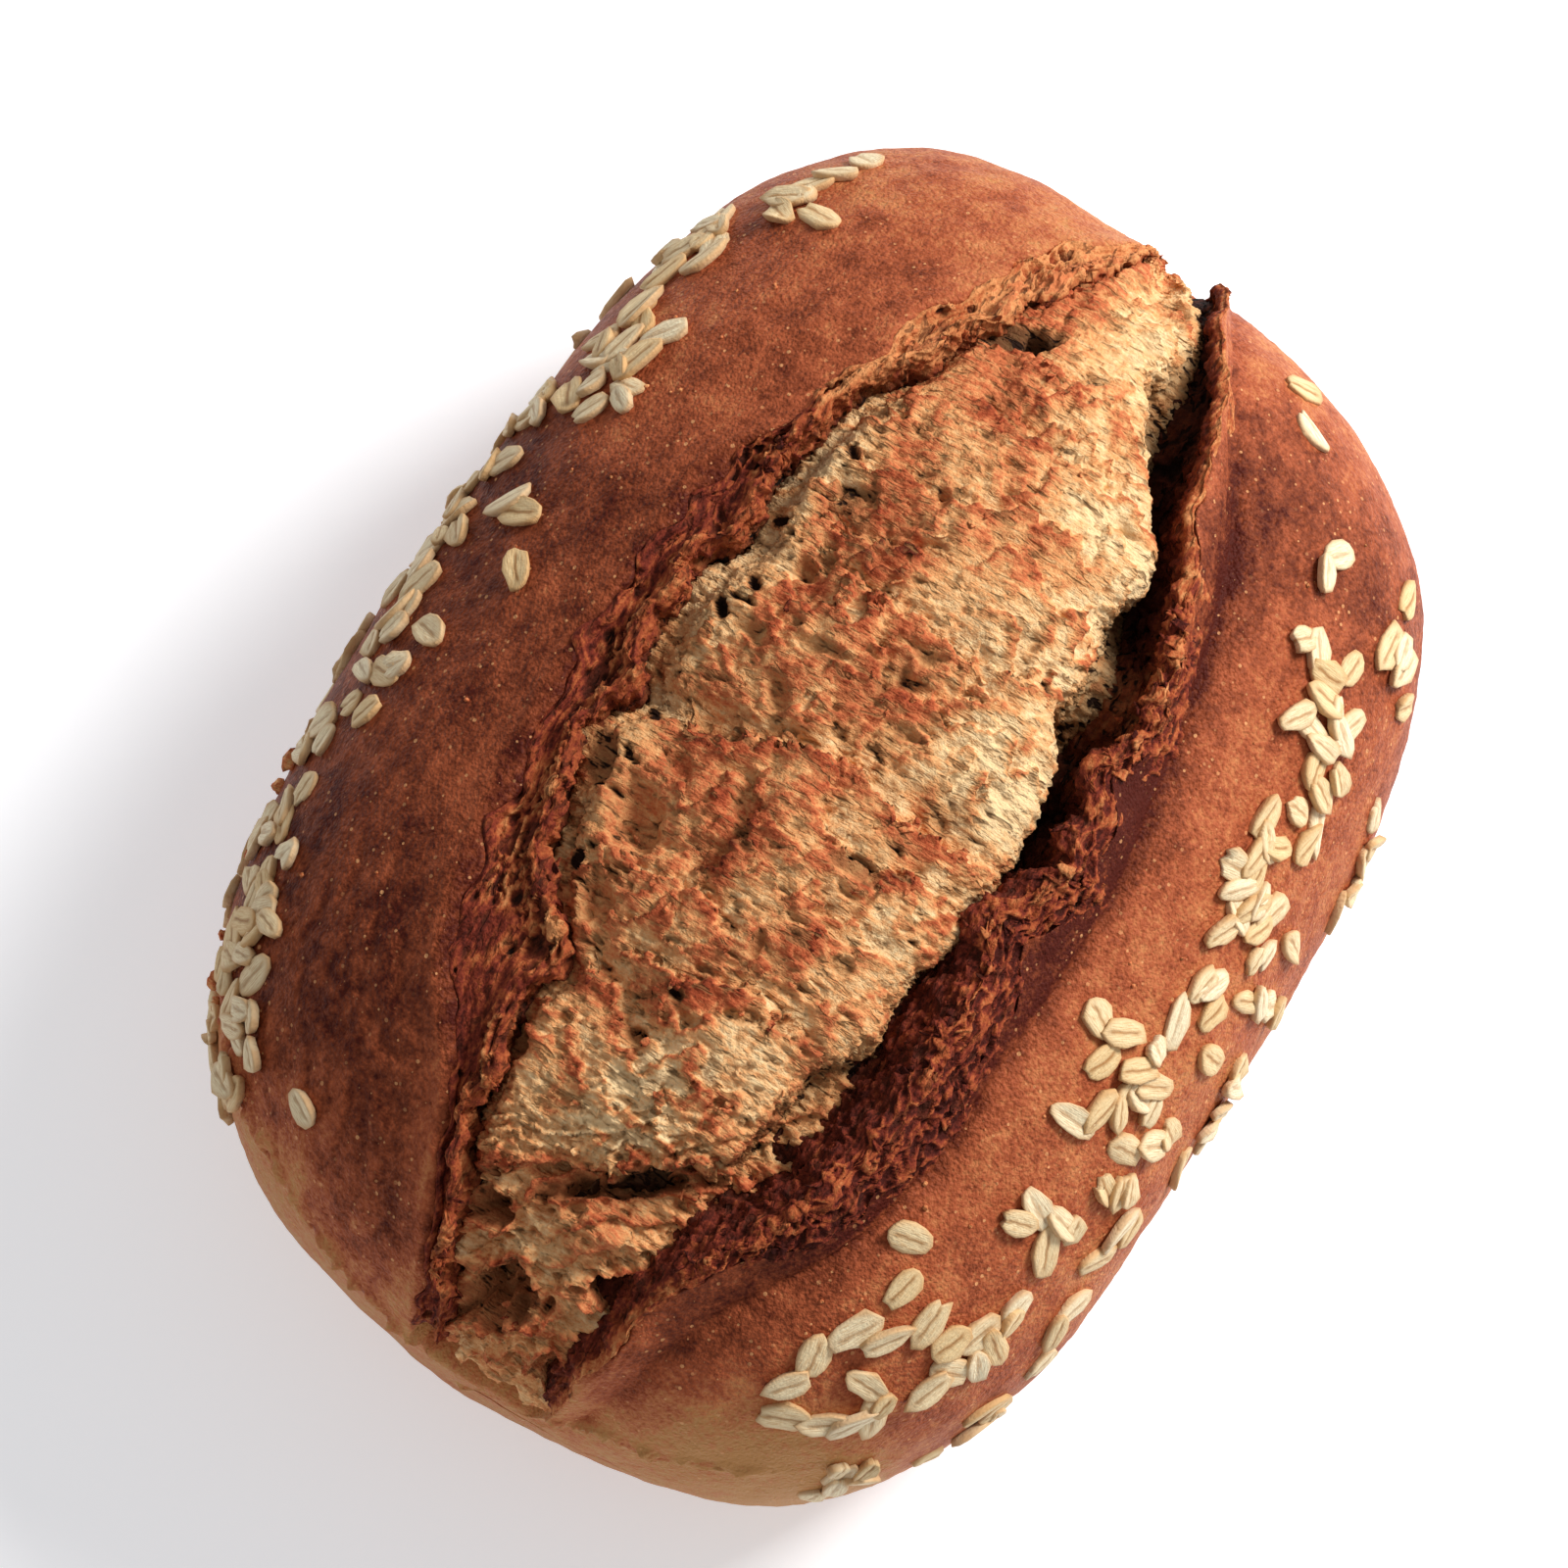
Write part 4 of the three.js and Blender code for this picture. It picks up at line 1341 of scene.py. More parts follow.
@dataclass
class TornCrumbBloom(TornSheet):
    """The bloom: crumb that swelled out of the tear, from the deep cleft on the ear's side to the rim's cleft."""

    name: str = "torn_crumb"
    start: float = 13.0
    end: float = 139.0
    rows: int = 520
    columns: int = 187
    lean: tuple[float, float, float] = (-1.0, 0.1, 0.45)
    sparse: tuple[float, ...] = (0.4, 0.6, 0.8, 1.0, 1.1, 1.1, 1.1, 1.1, 1.1, 1.1, 1.1, 1.1, 0.8, 0.3)
    scarps: tuple[Scarp, ...] = (
        Scarp(((-13, 25), (-10, 9), (-6, -1), (-6, -12), (-9, -18), (-7, -30)), 2.6),
        Scarp(((-31, 4), (-22, 0), (-13, 4)), 2.2, 6.0),
        Scarp(((26, 19), (25, 12), (26, 7), (28, -2)), 2.0, 6.0),
        Scarp(((12, 19), (19, 11), (18, -3), (17, -15), (21, -24)), 1.6, 6.0),
        Scarp(((54, 9), (53, 0), (52, -9), (53, -18)), 1.6, 7.0),
        Scarp(((13, 2), (7, -4), (8, -11), (13, -18)), 1.5, 5.0),
        Scarp(((-13, -4), (-18, -14), (-15, -23), (-14, -33)), 1.7, 6.0),
        Scarp(((-44, 9), (-45, -3), (-41, -11), (-43, -23)), 1.7, 6.0),
        Scarp(((-47, 14), (-51, 5), (-54, 2), (-55, -6)), 1.8, 5.0),
        Scarp(((-28, 20), (-34, 12), (-33, 2), (-36, -6)), 1.4, 5.0),
        Scarp(((66, 10), (64, 0), (66, -8)), 1.5, 5.0),
        Scarp(((-24, -10), (-29, -18), (-26, -26)), 1.3, 5.0),
        Scarp(((-58, 10), (-63, 0), (-58, -12), (-52, -20)), 0.7, 4.0),
        Scarp(((38, 14), (36, 4), (39, -6)), 1.2, 5.0),
    )
    spots: tuple[tuple[float, float, float, float], ...] = (  # x, y, reach in mm and toast
        (57, 6, 8, 0.22), (27, 8, 8, 0.22), (7, -7, 9, 0.3), (-14, 13, 7, 0.26), (-22, 0, 4, 0.3),
        (-62, -3, 11, -0.26), (77, 9, 8, 0.16), (-7, -20, 5, 0.16), (-28, -16, 6, 0.12), (37, -12, 6, 0.14),
        (40, 12, 5, 0.14), (3, -24, 8, -0.3), (44, -20, 8, -0.2), (-60, -12, 9, -0.16), (-45, -18, 8, -0.14),
        (34, 23, 7, -0.16), (-23, -26, 7, -0.16), (-58, -10, 8, -0.1), (79, -9, 7, -0.12), (-12, 23, 5, -0.12),
        (18, -16, 6, -0.14),
    )
    alveoli: tuple[Alveolus, ...] = tuple(Alveolus(*row) for row in (
        (54, 0.12, 7.0, 3.0, 5.5, -32, 0.78), (101, 0.34, 5.5, 2.4, 2.6, 58, 0.4), (104, 0.22, 6.5, 4.5, 2.6, 50, 0.12),
        (111, 0.2, 5.2, 3.6, 2.2, 58, 0.14), (99, 0.2, 3.2, 2.2, 1.4, 40, 0.06), (122, 0.21, 3.6, 3.0, 4.0, 30, 0.85),
        (118, -0.01, 2.2, 1.5, 2.4, 10, 0.8), (114, -0.04, 1.5, 1.1, 1.6, 0, 0.7), (90, 0.12, 3.4, 2.0, 1.2, 40, 0.2),
        (80, 0.2, 2.6, 1.6, 1.2, 50, 0.3), (83, 0.27, 1.8, 1.0, 1.6, 40, 0.8), (86, 0.3, 2.2, 1.1, 1.8, 50, 0.8),
        (77, 0.3, 1.6, 1.1, 1.6, 20, 0.8), (70, 0.25, 1.8, 1.0, 1.6, 30, 0.7), (96, 0.3, 2.0, 1.2, 1.6, 60, 0.7),
        (109, 0.27, 1.8, 1.1, 1.6, 60, 0.8), (108, -0.12, 2.2, 1.2, 1.2, 80, 0.4), (70, 0.05, 2.4, 1.3, 1.1, 70, 0.3),
    ))
    front_x: float = -75.5  # where the front edge crosses y = 0
    front_lean: float = -0.55  # how far it runs towards -X for each mm towards +Y

    def lines(self, degrees: Array) -> list[tuple[Array, Array]]:
        """Deep cleft floor, its wall, the crisp edge, the bloom, and the shallow cleft's floor under the rim."""
        t = self.tear
        calm = smooth(degrees, 14, 30) * smooth(degrees, 166, 150)
        ear = t.row("ear", degrees)
        edge = t.row("crumb_edge", degrees) + calm * wander(degrees, ((7, 0.022), (2.6, 0.016), (1.1, 0.008)), 91)
        rim = t.row("rim", degrees)
        deep, shallow, rise = t.row("ear_cleft", degrees), t.row("rim_cleft", degrees), t.row("crumb_rise", degrees)
        start, end = edge + 0.05 * (rim - edge), rim - 0.2 * (rim - edge)
        shallow = shallow * (0.65 + 0.6 * smooth(wander(degrees, ((9, 1.0),), 95), -0.4, 0.5))
        return [
            (mix(ear, edge, 0.1), -1.1 * deep - 6.0),
            (mix(ear, edge, 0.42), -1.02 * deep - 1.0),
            (mix(ear, edge, 0.75), -0.85 * deep),
            (edge - 0.012, -0.42 * deep),
            (edge + 0.004, 0.1 * rise - 0.6),
            (start, 0.4 * rise),
            (mix(start, end, 0.2), 0.75 * rise),
            (mix(start, end, 0.4), rise),
            (mix(start, end, 0.6), 0.9 * rise),
            (mix(start, end, 0.8), 0.5 * rise),
            (end, -0.1 * shallow),
            (mix(end, rim, 0.45), -0.3 * shallow),
            (mix(end, rim, 0.74), -1.0 * shallow - 0.8 * np.minimum(1, shallow / 3)),
            (mix(end, rim, 1.0), -1.1 * shallow - 1.4 * np.minimum(1, shallow / 3)),
            (mix(end, rim, 1.25), -shallow - 7.0),
        ]

    def scarp_field(self, x: Array, y: Array, jitter: Array) -> tuple[Array, Array]:
        """The drop beyond each scarp and the toast along its edge.

        A place's distance to the path is signed by the side it lies on; the drop steps down within
        0.7 mm of the edge and comes back over the fade.

        Args:
            x: places along the loaf in mm.
            y: places across it.
            jitter: how far the edge strays at each place, in mm.

        Returns:
            Heights in mm, and how near a place lies to the upper side of an edge, 0 to 1.
        """
        drop, lit = np.zeros_like(x), np.zeros_like(x)
        for scarp in self.scarps:
            nearest, side = np.full_like(x, 1e9), np.zeros_like(x)
            for (ax, ay), (bx, by) in zip(scarp.path, scarp.path[1:]):
                dx, dy = bx - ax, by - ay
                t = np.clip(((x - ax) * dx + (y - ay) * dy) / (dx * dx + dy * dy), 0, 1)
                gap = np.hypot(x - ax - t * dx, y - ay - t * dy)
                turn = np.sign((x - ax) * dy - (y - ay) * dx)
                closer = gap < nearest
                side = np.where(closer, turn, side)
                nearest = np.where(closer, gap, nearest)
            (ax, ay), (bx, by) = scarp.path[0], scarp.path[-1]
            t = ((x - ax) * (bx - ax) + (y - ay) * (by - ay)) / ((bx - ax) ** 2 + (by - ay) ** 2)
            along = smooth(t, -0.06, 0.14) * smooth(t, 1.06, 0.86)
            signed = jitter - nearest * side
            below = smooth(signed, -0.1, 0.6) * np.exp(-np.maximum(signed, 0) / scarp.fade)
            drop = drop - 1.35 * scarp.drop * below * along
            lit = np.maximum(lit, along * smooth(signed, 0.4, -0.3) * np.exp(np.minimum(signed, 0) / 2.0))
        return drop, lit

    def browned(self, x: Array, y: Array) -> Array:
        """More toast on the spots that stood up into the oven's heat, and less on the sheltered ones."""
        total = np.zeros_like(x)
        for mid_x, mid_y, reach, amount in self.spots:
            total = total + amount * np.exp(-(((x - mid_x) ** 2 + (y - mid_y) ** 2) / reach**2))
        return total

    def front(self, x: Array, y: Array, base: Array) -> Array:
        """How far beyond the bloom's front edge a place lies, in mm: the edge is a slanted line with hills."""
        stray = 2.4 * hills(base, (6, 5, 30), 96, 2) + 0.9 * hills(base, (1.6, 1.4, 30), 97, 1)
        return (self.front_x + self.front_lean * y) - x + stray

    def relief(self, base: Array, normal: Array, degrees: Array, knots: Array) -> tuple[Array, Array, Array, Array]:
        """Scarps, a drawn net of fibres, slots and bowls, over slow lumps; the front edge breaks off.

        Args:
            base: the smooth grid in mm.
            normal: its outward directions.
            degrees: the station of each row.
            knots: how far across each line lies.

        Returns:
            The points, the toast, the painted shade and how likely a shred grows there.
        """
        v = np.linspace(0, 1, base.shape[1])[None, :]
        x, y = base[..., 0], base[..., 1]
        calm = (smooth(degrees, 13, 28))[:, None]
        face = smooth(v, knots[3], knots[5]) * smooth(v, knots[12], knots[11])
        wall = smooth(v, knots[4], knots[3])
        left = smooth(v, knots[8], knots[11])
        slewed = 1.3 * hills(base, (6, 9, 6), 98, 2) + 4.0 * hills(base, (24, 20, 24), 119, 1)
        bent = moved(base, slewed, 0.8 * hills(base, (7, 7, 7), 99, 2))
        jitter = 1.7 * hills(base, (3.4, 3.4, 9), 101, 3, 0.65) + 0.9 * hills(bent, (1.3, 5.0, 3.0), 118, 2)
        drop, lit = self.scarp_field(x, y, jitter)
        bowl, inside, bowl_rim = self.bowls(x, y)
        # Small steps, each torn off a little lower towards -X.
        climb = bent[..., 0] / 8.0 + 0.9 * hills(base, (13, 7, 13), 102, 3, 0.55)
        climb = climb + 0.16 * hills(bent, (1.3, 5.0, 3.0), 120, 2, 0.7)
        step = climb - np.floor(climb)
        bold = smooth(hills(base, (18, 14, 18), 100, 1), -0.5, 0.4)
        steps = bold * (1.7 * (step - smooth(step, 0.9, 1.0)) - 0.4)
        fibres = net(bent, (1.25, 5.5, 3.0), 103, 3, 0.3)
        lumps = hills(base, (13, 9, 13), 105, 2, 0.35)
        torn_way = moved(base, 1.5 * hills(base, (3, 5, 4), 114, 2), 1.2 * hills(base, (4, 4, 4), 115, 2))
        open_big, rim_big = cells(torn_way, (4.6, 13.0, 9.0), 104, 0.32, 0.5)
        open_mid, rim_mid = cells(torn_way, (1.7, 5.6, 3.6), 106, 0.55, 0.5)
        open_fine, rim_fine = cells(bent, (0.95, 2.2, 1.6), 107, 0.5, 0.55)
        sparse = smooth(hills(base, (12, 12, 12), 113, 2), -0.3, 0.4)
        sparse = mix(sparse, 1.0, 0.6 * smooth(x, -5, -40))
        slots = np.maximum(np.maximum(open_big * sparse, open_mid * mix(0.45, 1.0, sparse)), 0.6 * open_fine)
        walls = np.maximum(np.maximum(rim_big * sparse, 0.7 * rim_mid * mix(0.3, 1.0, sparse)), 0.3 * rim_fine)
        walls = walls * (1 - slots)
        quiet = 1 - smooth(inside, 0.0, 0.3) * 0.8
        # The olive strip along the left cleft: paler, less toasted crumb, with painted shade on it.
        strip = v + 0.03 * hills(base, (6, 4, 6), 130, 2)
        olive = smooth(strip, mix(knots[9], knots[10], 0.9), mix(knots[10], knots[11], 0.9))
        olive = olive * smooth(x, -58, -46) * smooth(x, 56, 44)
        grit = 0.16 * hills(base, (1.1, 1.8, 1.4), 116, 3, 0.65) + 0.12 * ridges(bent, (0.9, 3.4, 2.0), 117, 2)
        texture = 0.45 * fibres + 0.4 * walls + grit - 1.1 * open_big * sparse - 0.36 * open_fine
        texture = (texture - (mix(0.45, 0.9, sparse) + 1.2 * olive) * open_mid) * quiet
        height = face * (texture + steps * quiet + lumps + drop + bowl) + (1 - face) * (1.2 * fibres + lumps - slots)
        grain = 0.1 * hills(base, 0.85, 108, 2) * quiet
        beyond = self.front(x, y, base)
        fall = smooth(beyond, -0.4, 1.6)
        sheets = (beyond + 1.8 * lumps + 0.8 * fibres) / 2.7
        sheets = sheets - np.floor(sheets)
        layers = 1.3 * (smooth(sheets, 0.0, 0.75) * smooth(sheets, 1.0, 0.88) - 0.5)
        layers = layers * smooth(beyond, -14, -4) * (1 - fall)
        height = height * mix(0.4, 1.0, calm) + face * layers - 9.0 * fall * (0.5 + 0.5 * smooth(beyond, 1.5, 7))
        points = base + normal * (height + grain)[..., None]
        crest = texture + drop - local_mean(texture + drop, 4)
        shape = steps + drop + 0.5 * texture
        raised = shape - local_mean(shape, 9)
        patches = smooth(hills(base, (11, 9, 11), 109, 3, 0.6), -0.1, 0.5)
        warm = smooth(hills(base, (26, 20, 26), 110, 1), -0.5, 0.5)
        toast = 0.22 + 0.1 * warm + 0.22 * patches + self.browned(x, y)
        toast = toast - 0.06 * np.clip(crest, -0.8, 0.9) + 0.2 * np.clip(raised, -0.6, 1.0)
        toast = toast + 0.16 * smooth(walls, 0.3, 0.9) * mix(0.3, 1.0, patches) + 0.5 * lit * (0.55 + 0.45 * patches)
        toast = toast + 0.36 * bold * smooth(step, 0.6, 0.93) * smooth(step, 1.0, 0.96) + 0.12 * bowl_rim
        toast = toast + 0.3 * smooth(beyond, -3.0, -0.3) + 0.2 * smooth(x, 45, 70) * left
        # Painted light: the crumb towards the front, whose faces turn away from the key light, is painted paler by the
        # last term here and by the next line.
        toast = toast - 0.12 * olive * smooth(x, 60, 40) - 0.08 * smooth(x, -48, -68)
        toast = toast - 0.14 * smooth(y, 4, -20) * smooth(x, -70, -30)
        toast = np.where(toast > 0.55, 0.55 + 0.6 * (toast - 0.55), toast) + 0.11 * smooth(x, 0, -30)
        toast = mix(toast, 0.5 + 0.08 * lumps, np.minimum(6.0 * inside, 0.9))
        # Painted shade: in the slots, in the olive strip and its dips, inside the bowls and beyond the scarps' drops;
        # less towards the front.
        hollow = (0.5 * slots + 0.6 * olive * open_mid) * face * quiet + inside
        hollow = hollow + (0.07 + 0.24 * smooth(crest, 0.25, -0.35)) * olive
        hollow = hollow + 0.3 * smooth(-drop, 0.5, 2.0) * face * smooth(hills(base, (6, 4, 6), 111, 1), -0.2, 0.5)
        hollow = hollow * (1 - 0.45 * smooth(x, -35, -60))
        # More painted shade down the deep cleft's wall, darkest near 61 degrees, and beyond the front edge where the
        # crumb falls away.
        depth = smooth(v, knots[4], knots[1])
        black = 0.35 * bell(degrees, 61, 5.0)[:, None]
        hollow = np.maximum(hollow, wall * (0.15 + (0.45 + black) * depth + 0.2 * slots))
        hollow = np.maximum(hollow, 0.85 * fall)
        chance = 0.6 * lit * face + 0.7 * bell(beyond, -0.4, 0.7) * face + 0.15 * bell(v, knots[4], 0.02)
        return points, toast, hollow, chance * calm


@dataclass
class LowerTerrace(TornSheet):
    """The crumb in front of and below the bloom, out to the near end's seam, with pits between its clods."""

    name: str = "lower_terrace"
    start: float = 97.0
    end: float = 161.0
    rows: int = 400
    columns: int = 196
    lean: tuple[float, float, float] = (-1.0, 0.0, 0.5)
    ragged: float = 0.4
    alveoli: tuple[Alveolus, ...] = tuple(Alveolus(*row) for row in (
        (141, -0.04, 8.0, 4.6, 7.0, -20, 0.6), (130, 0.12, 5.6, 2.8, 4.0, -27, 0.6),
        (134, 0.08, 3.8, 2.6, 4.5, 0, 0.6), (134, -0.27, 8.0, 2.2, 4.0, -34, 0.6),
        (127, -0.15, 13.0, 2.0, 3.5, -37, 0.6), (147, -0.3, 4.0, 2.0, 3.0, 10, 0.4),
    ))

    def lines(self, degrees: Array) -> list[tuple[Array, Array]]:
        """From under the ear to under the rim, a few mm below the bloom and then on down the end."""
        t = self.tear
        ear, rim = t.row("ear", degrees), t.row("rim", degrees)
        low = -4.0 - 3.6 * smooth(degrees, 133, 125) - 1.5 * smooth(degrees, 114, 104)
        low = low + 2.6 * smooth(degrees, 138, 150)
        hump = 1.6 * bell(degrees, 133, 8)
        return [
            (ear - 0.05, low - 5.0),
            (mix(ear, rim, 0.04), low - 1.8),
            (mix(ear, rim, 0.16), low - 0.6),
            (mix(ear, rim, 0.32), low + hump),
            (mix(ear, rim, 0.5), low + 0.8 * hump),
            (mix(ear, rim, 0.7), low + 0.2 * hump),
            (mix(ear, rim, 0.88), low - 0.6),
            (mix(ear, rim, 0.98), low - 2.4),
            (rim + 0.06, low - 8.0),
        ]

    def relief(self, base: Array, normal: Array, degrees: Array, knots: Array) -> tuple[Array, Array, Array, Array]:
        """Clods with shallow gaps and a few deep pits between them, toasted on their tops.

        Args:
            base: the smooth grid in mm.
            normal: its outward directions.
            degrees: the station of each row.
            knots: how far across each line lies; not used here.

        Returns:
            The points, the toast, the painted shade and how likely a shred grows there.
        """
        x, y = base[..., 0], base[..., 1]
        lumps = hills(base, (7, 7, 7), 121, 3, 0.6)
        bent = base + 1.4 * hills(base, (5, 5, 5), 120, 2)[..., None]
        walls = lace(bent + 0.8 * lumps[..., None], (4.6, 6.5, 5.0), 122, 0.3)
        fibres = net(bent, (1.4, 5.0, 3.0), 123, 3, 0.32)
        open_mid, _ = cells(bent, (2.4, 4.2, 3.2), 124, 0.5, 0.55)
        sheets = (-x - 0.55 * y) / 5.0 + 0.7 * hills(base, (9, 7, 9), 125, 2)
        sheets = sheets - np.floor(sheets)
        layers = 1.5 * (sheets - smooth(sheets, 0.9, 1.0) - 0.3)
        bowl, inside, rim = self.bowls(x, y)
        hump = 2.2 * np.exp(-((x + 79) ** 2 + (y + 9) ** 2) / 30)
        height = 1.5 * lumps + 1.0 * walls + 0.7 * fibres + layers - 1.2 * open_mid + bowl + 0.9 * rim + hump
        points = base + normal * (height + 0.12 * hills(base, 0.85, 128, 2))[..., None]
        crest = height - local_mean(height, 7)
        outer = smooth(degrees, 133, 146)[:, None]
        tatters = np.exp(-((x + 68) ** 2 + (y + 24) ** 2) / 50)
        toast = 0.16 + 0.08 * smooth(crest, -0.2, 1.4) + 0.2 * hills(base, (9, 8, 9), 126, 2) + 0.12 * outer
        toast = toast + 0.2 * smooth(sheets, 0.6, 0.9) * smooth(sheets, 1.0, 0.94)
        toast = toast + 0.3 * tatters + 0.12 * hump + 0.2 * rim
        toast = mix(toast, 0.66 + 0.15 * lumps, np.minimum(3.0 * inside, 0.85))
        # Painted shade in the open cells, inside the bowls and in the dips, and more where the terrace runs in under
        # the bloom.
        hollow = 0.18 * open_mid + 0.55 * inside + 0.12 * smooth(crest, 0.2, -1.4)
        hollow = hollow + 0.2 * smooth(degrees, 122, 114)[:, None] + 0.4 * smooth(degrees, 108, 100)[:, None]
        calm = (smooth(degrees, 120, 126) * smooth(degrees, 152, 146))[:, None]
        return points, toast, hollow, (smooth(crest, 0.6, 1.4) + 2 * tatters) * calm


# ---- Shreds ----


@dataclass
class Shreds:
    """Small torn plates of skin and crumb that stand off the ragged edges of the sheets."""

    name: str
    long: tuple[float, float] = (1.0, 3.2)
    wide: tuple[float, float] = (0.9, 2.6)
    thick: float = 0.3
    curl: tuple[float, float] = (0.1, 0.5)  # how far they bend: the mean and its spread
    root: float = 0.3  # the hidden length of each, as a share of the rest
    rows: int = 5
    columns: int = 5

    def roots(self, sheets: list[tuple[TornSheet, int]], rng: np.random.Generator) -> tuple[Array, Array, Array, Array]:
        """Draws points of the sheets by how likely a shred grows there.

        Args:
            sheets: each sheet with its number of shreds.
            rng: the seeded draws.

        Returns:
            The roots in mm, the directions in which the shreds grow, the outward directions, and toast.
        """
        spots, ways, ups, toasts = [], [], [], []
        for sheet, count in sheets:
            points, normals, toast, chance = sheet.fringe
            chosen = rng.choice(len(points), count, p=chance / chance.sum())
            up = normals[chosen] + rng.normal(0, 0.25, (count, 3))
            way = np.asarray(sheet.lean) + rng.normal(0, 0.4, (count, 3))
            way = way - 0.8 * (way * normals[chosen]).sum(1, keepdims=True) * normals[chosen]
            ups.append(unit(up))
            ways.append(unit(way))
            spots.append(points[chosen] - 0.2 * ups[-1])
            toasts.append(toast[chosen] + rng.normal(0, 0.08, count))
        return np.concatenate(spots), np.concatenate(ways), np.concatenate(ups), np.concatenate(toasts)

    def build(self, sheets: list[tuple[TornSheet, int]], finish: bpy.types.Material, seed: int) -> bpy.types.Object:
        """Each shred is a ragged plate bent along an arc, given a thickness and closed.

        Args:
            sheets: each sheet with its number of shreds.
            finish: the shreds' material.
            seed: for their draws.

        Returns:
            The piece.
        """
        rng = np.random.default_rng(seed)
        spots, ways, ups, toasts = self.roots(sheets, rng)
        count = len(spots)
        long = rng.uniform(*self.long, count)[:, None, None]
        wide = rng.uniform(*self.wide, count)[:, None, None]
        curl = rng.normal(*self.curl, count)[:, None, None]
        s = np.linspace(-self.root, 1, self.rows)[None, :, None]
        w = np.linspace(-1, 1, self.columns)[None, None, :]
        ragged = rng.uniform(0.6, 1.4, (count, 1, self.columns))
        ragged = 0.5 * (ragged + np.roll(ragged, 1, axis=2))
        side_wave = rng.uniform(0.8, 1.2, (count, self.rows, 1))
        along = long * np.where(s > 0, s * ragged, s)
        across = 0.5 * wide * w * (1 - 0.3 * np.clip(s, 0, 1) ** 2) * side_wave
        bend = curl * along**2 / (2 * long) + rng.normal(0, 0.35, (count, 1, 1)) * across**2 / wide
        bend = bend + rng.normal(0, 0.1, (count, self.rows, self.columns))
        side = unit(np.cross(ways, ups))
        frames = [a[:, None, None, :] for a in (ways, side, np.cross(side, ways))]
        middle = spots[:, None, None] + sum(a[..., None] * frame for a, frame in zip((along, across, bend), frames))
        half = (0.5 * self.thick * (1.4 - np.clip(s, 0, 1)))[..., None] * frames[2]
        size = self.rows * self.columns
        top = np.arange(size).reshape(self.rows, self.columns)
        loop = np.concatenate([top, size + top[:, ::-1], top[:, :1]], axis=1)
        ends = [grid_faces(np.stack([top[row], size + top[row]]))[:, ::turn] for row, turn in ((0, -1), (-1, 1))]
        tone = toasts[:, None, None] + 0.1 * np.repeat(s.ravel(), self.columns) + np.array([[0.0], [0.12]])
        return make_piece(self.name, np.stack([middle + half, middle - half], 1).reshape(-1, 3),
                          np.concatenate([grid_faces(loop), *ends]), np.zeros((0, 3), int), finish,
                          {"toast": tone.ravel(), "hollow": np.zeros(tone.size)}, count)


@dataclass
class ToastedBits:
    """Clods of toasted crumb stuck to the crust low on the +Y side, and fine crumbs beside the tear."""

    dough: Dough
    crust: CrustShell
    clods: tuple[tuple[float, float, float], ...] = (  # station and line in degrees, half size in mm
        (111, 163, 1.9), (113, 166, 1.3), (117, 163, 1.5), (119, 165, 1.0), (130, 166, 1.7), (132, 163, 1.1),
        (126, 168, 0.9),
    )
    crumbs: int = 34
    flat: float = 0.75  # how high each is, as a share of its width
    rings: int = 6
    sectors: int = 9

    def build(self, finish: bpy.types.Material, seed: int) -> bpy.types.Object:
        """Each bit is a ball whose radius follows hills, pressed flat and sunk a little into the crust.

        Args:
            finish: the bits' material.
            seed: for their draws.

        Returns:
            The piece.
        """
        rng = np.random.default_rng(seed)
        n, k = self.crumbs, self.sectors
        part = rng.choice([-1, 1], n) * rng.uniform(0.6, 0.8, n)
        line = np.degrees(self.dough.roof_angle(part))
        loose = np.stack([rng.uniform(48, 132, n), line, rng.uniform(0.18, 0.42, n)], -1)
        phi, theta, size = np.concatenate([np.array(self.clods), loose]).T
        phi, theta, n = np.radians(phi), np.radians(theta), len(size)
        up = self.dough.outward(phi, theta)
        side = unit(np.cross(up, [1.0, 0.0, 0.0]))
        fall = np.repeat(np.pi * np.arange(1, self.rings + 1) / (self.rings + 1), k)
        turn = np.tile(2 * np.pi * np.arange(k) / k, self.rings)
        way = np.stack([np.sin(fall) * np.cos(turn), np.sin(fall) * np.sin(turn), np.cos(fall)], -1)
        way = np.concatenate([[[0.0, 0.0, 1.0]], way, [[0.0, 0.0, -1.0]]])[None]
        bumps = hills(way + 7.3 * np.arange(n)[:, None, None], 0.8, 140, 2)
        local = way * (size[:, None] * (1 + 0.5 * bumps))[..., None] * [1.0, 1.0, self.flat]
        frames = np.stack([side, np.cross(up, side), up], 1)
        rise, _ = self.crust.surface(phi, theta)
        spots = self.dough.at(phi, theta) + up * (rise + 0.35 * size)[:, None]
        vertices = (spots[:, None] + np.einsum("nvi,nij->nvj", local, frames)).reshape(-1, 3)
        toast = 0.5 + 0.25 * bumps.ravel()
        return make_piece("toasted_bits", vertices, *capped_rings(self.rings, k), finish,
                          {"toast": toast, "hollow": np.zeros_like(toast)}, n)


# ---- Rolled oats ----


class OatKind(Enum):
    """How a flake came out of the rollers."""

    WHOLE = "oats_whole"
    SPLIT = "oats_split"
    BROKEN = "oats_broken"


def lcg(seed: int) -> Callable[[], float]:
    """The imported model's draws from 0 to 1: state times 1664525 plus 1013904223, modulo 2 to the 32."""
    state = seed

    def draw() -> float:
        """The next draw."""
        nonlocal state
        state = (state * 1664525 + 1013904223) % 4294967296
        return state / 4294967296

    return draw


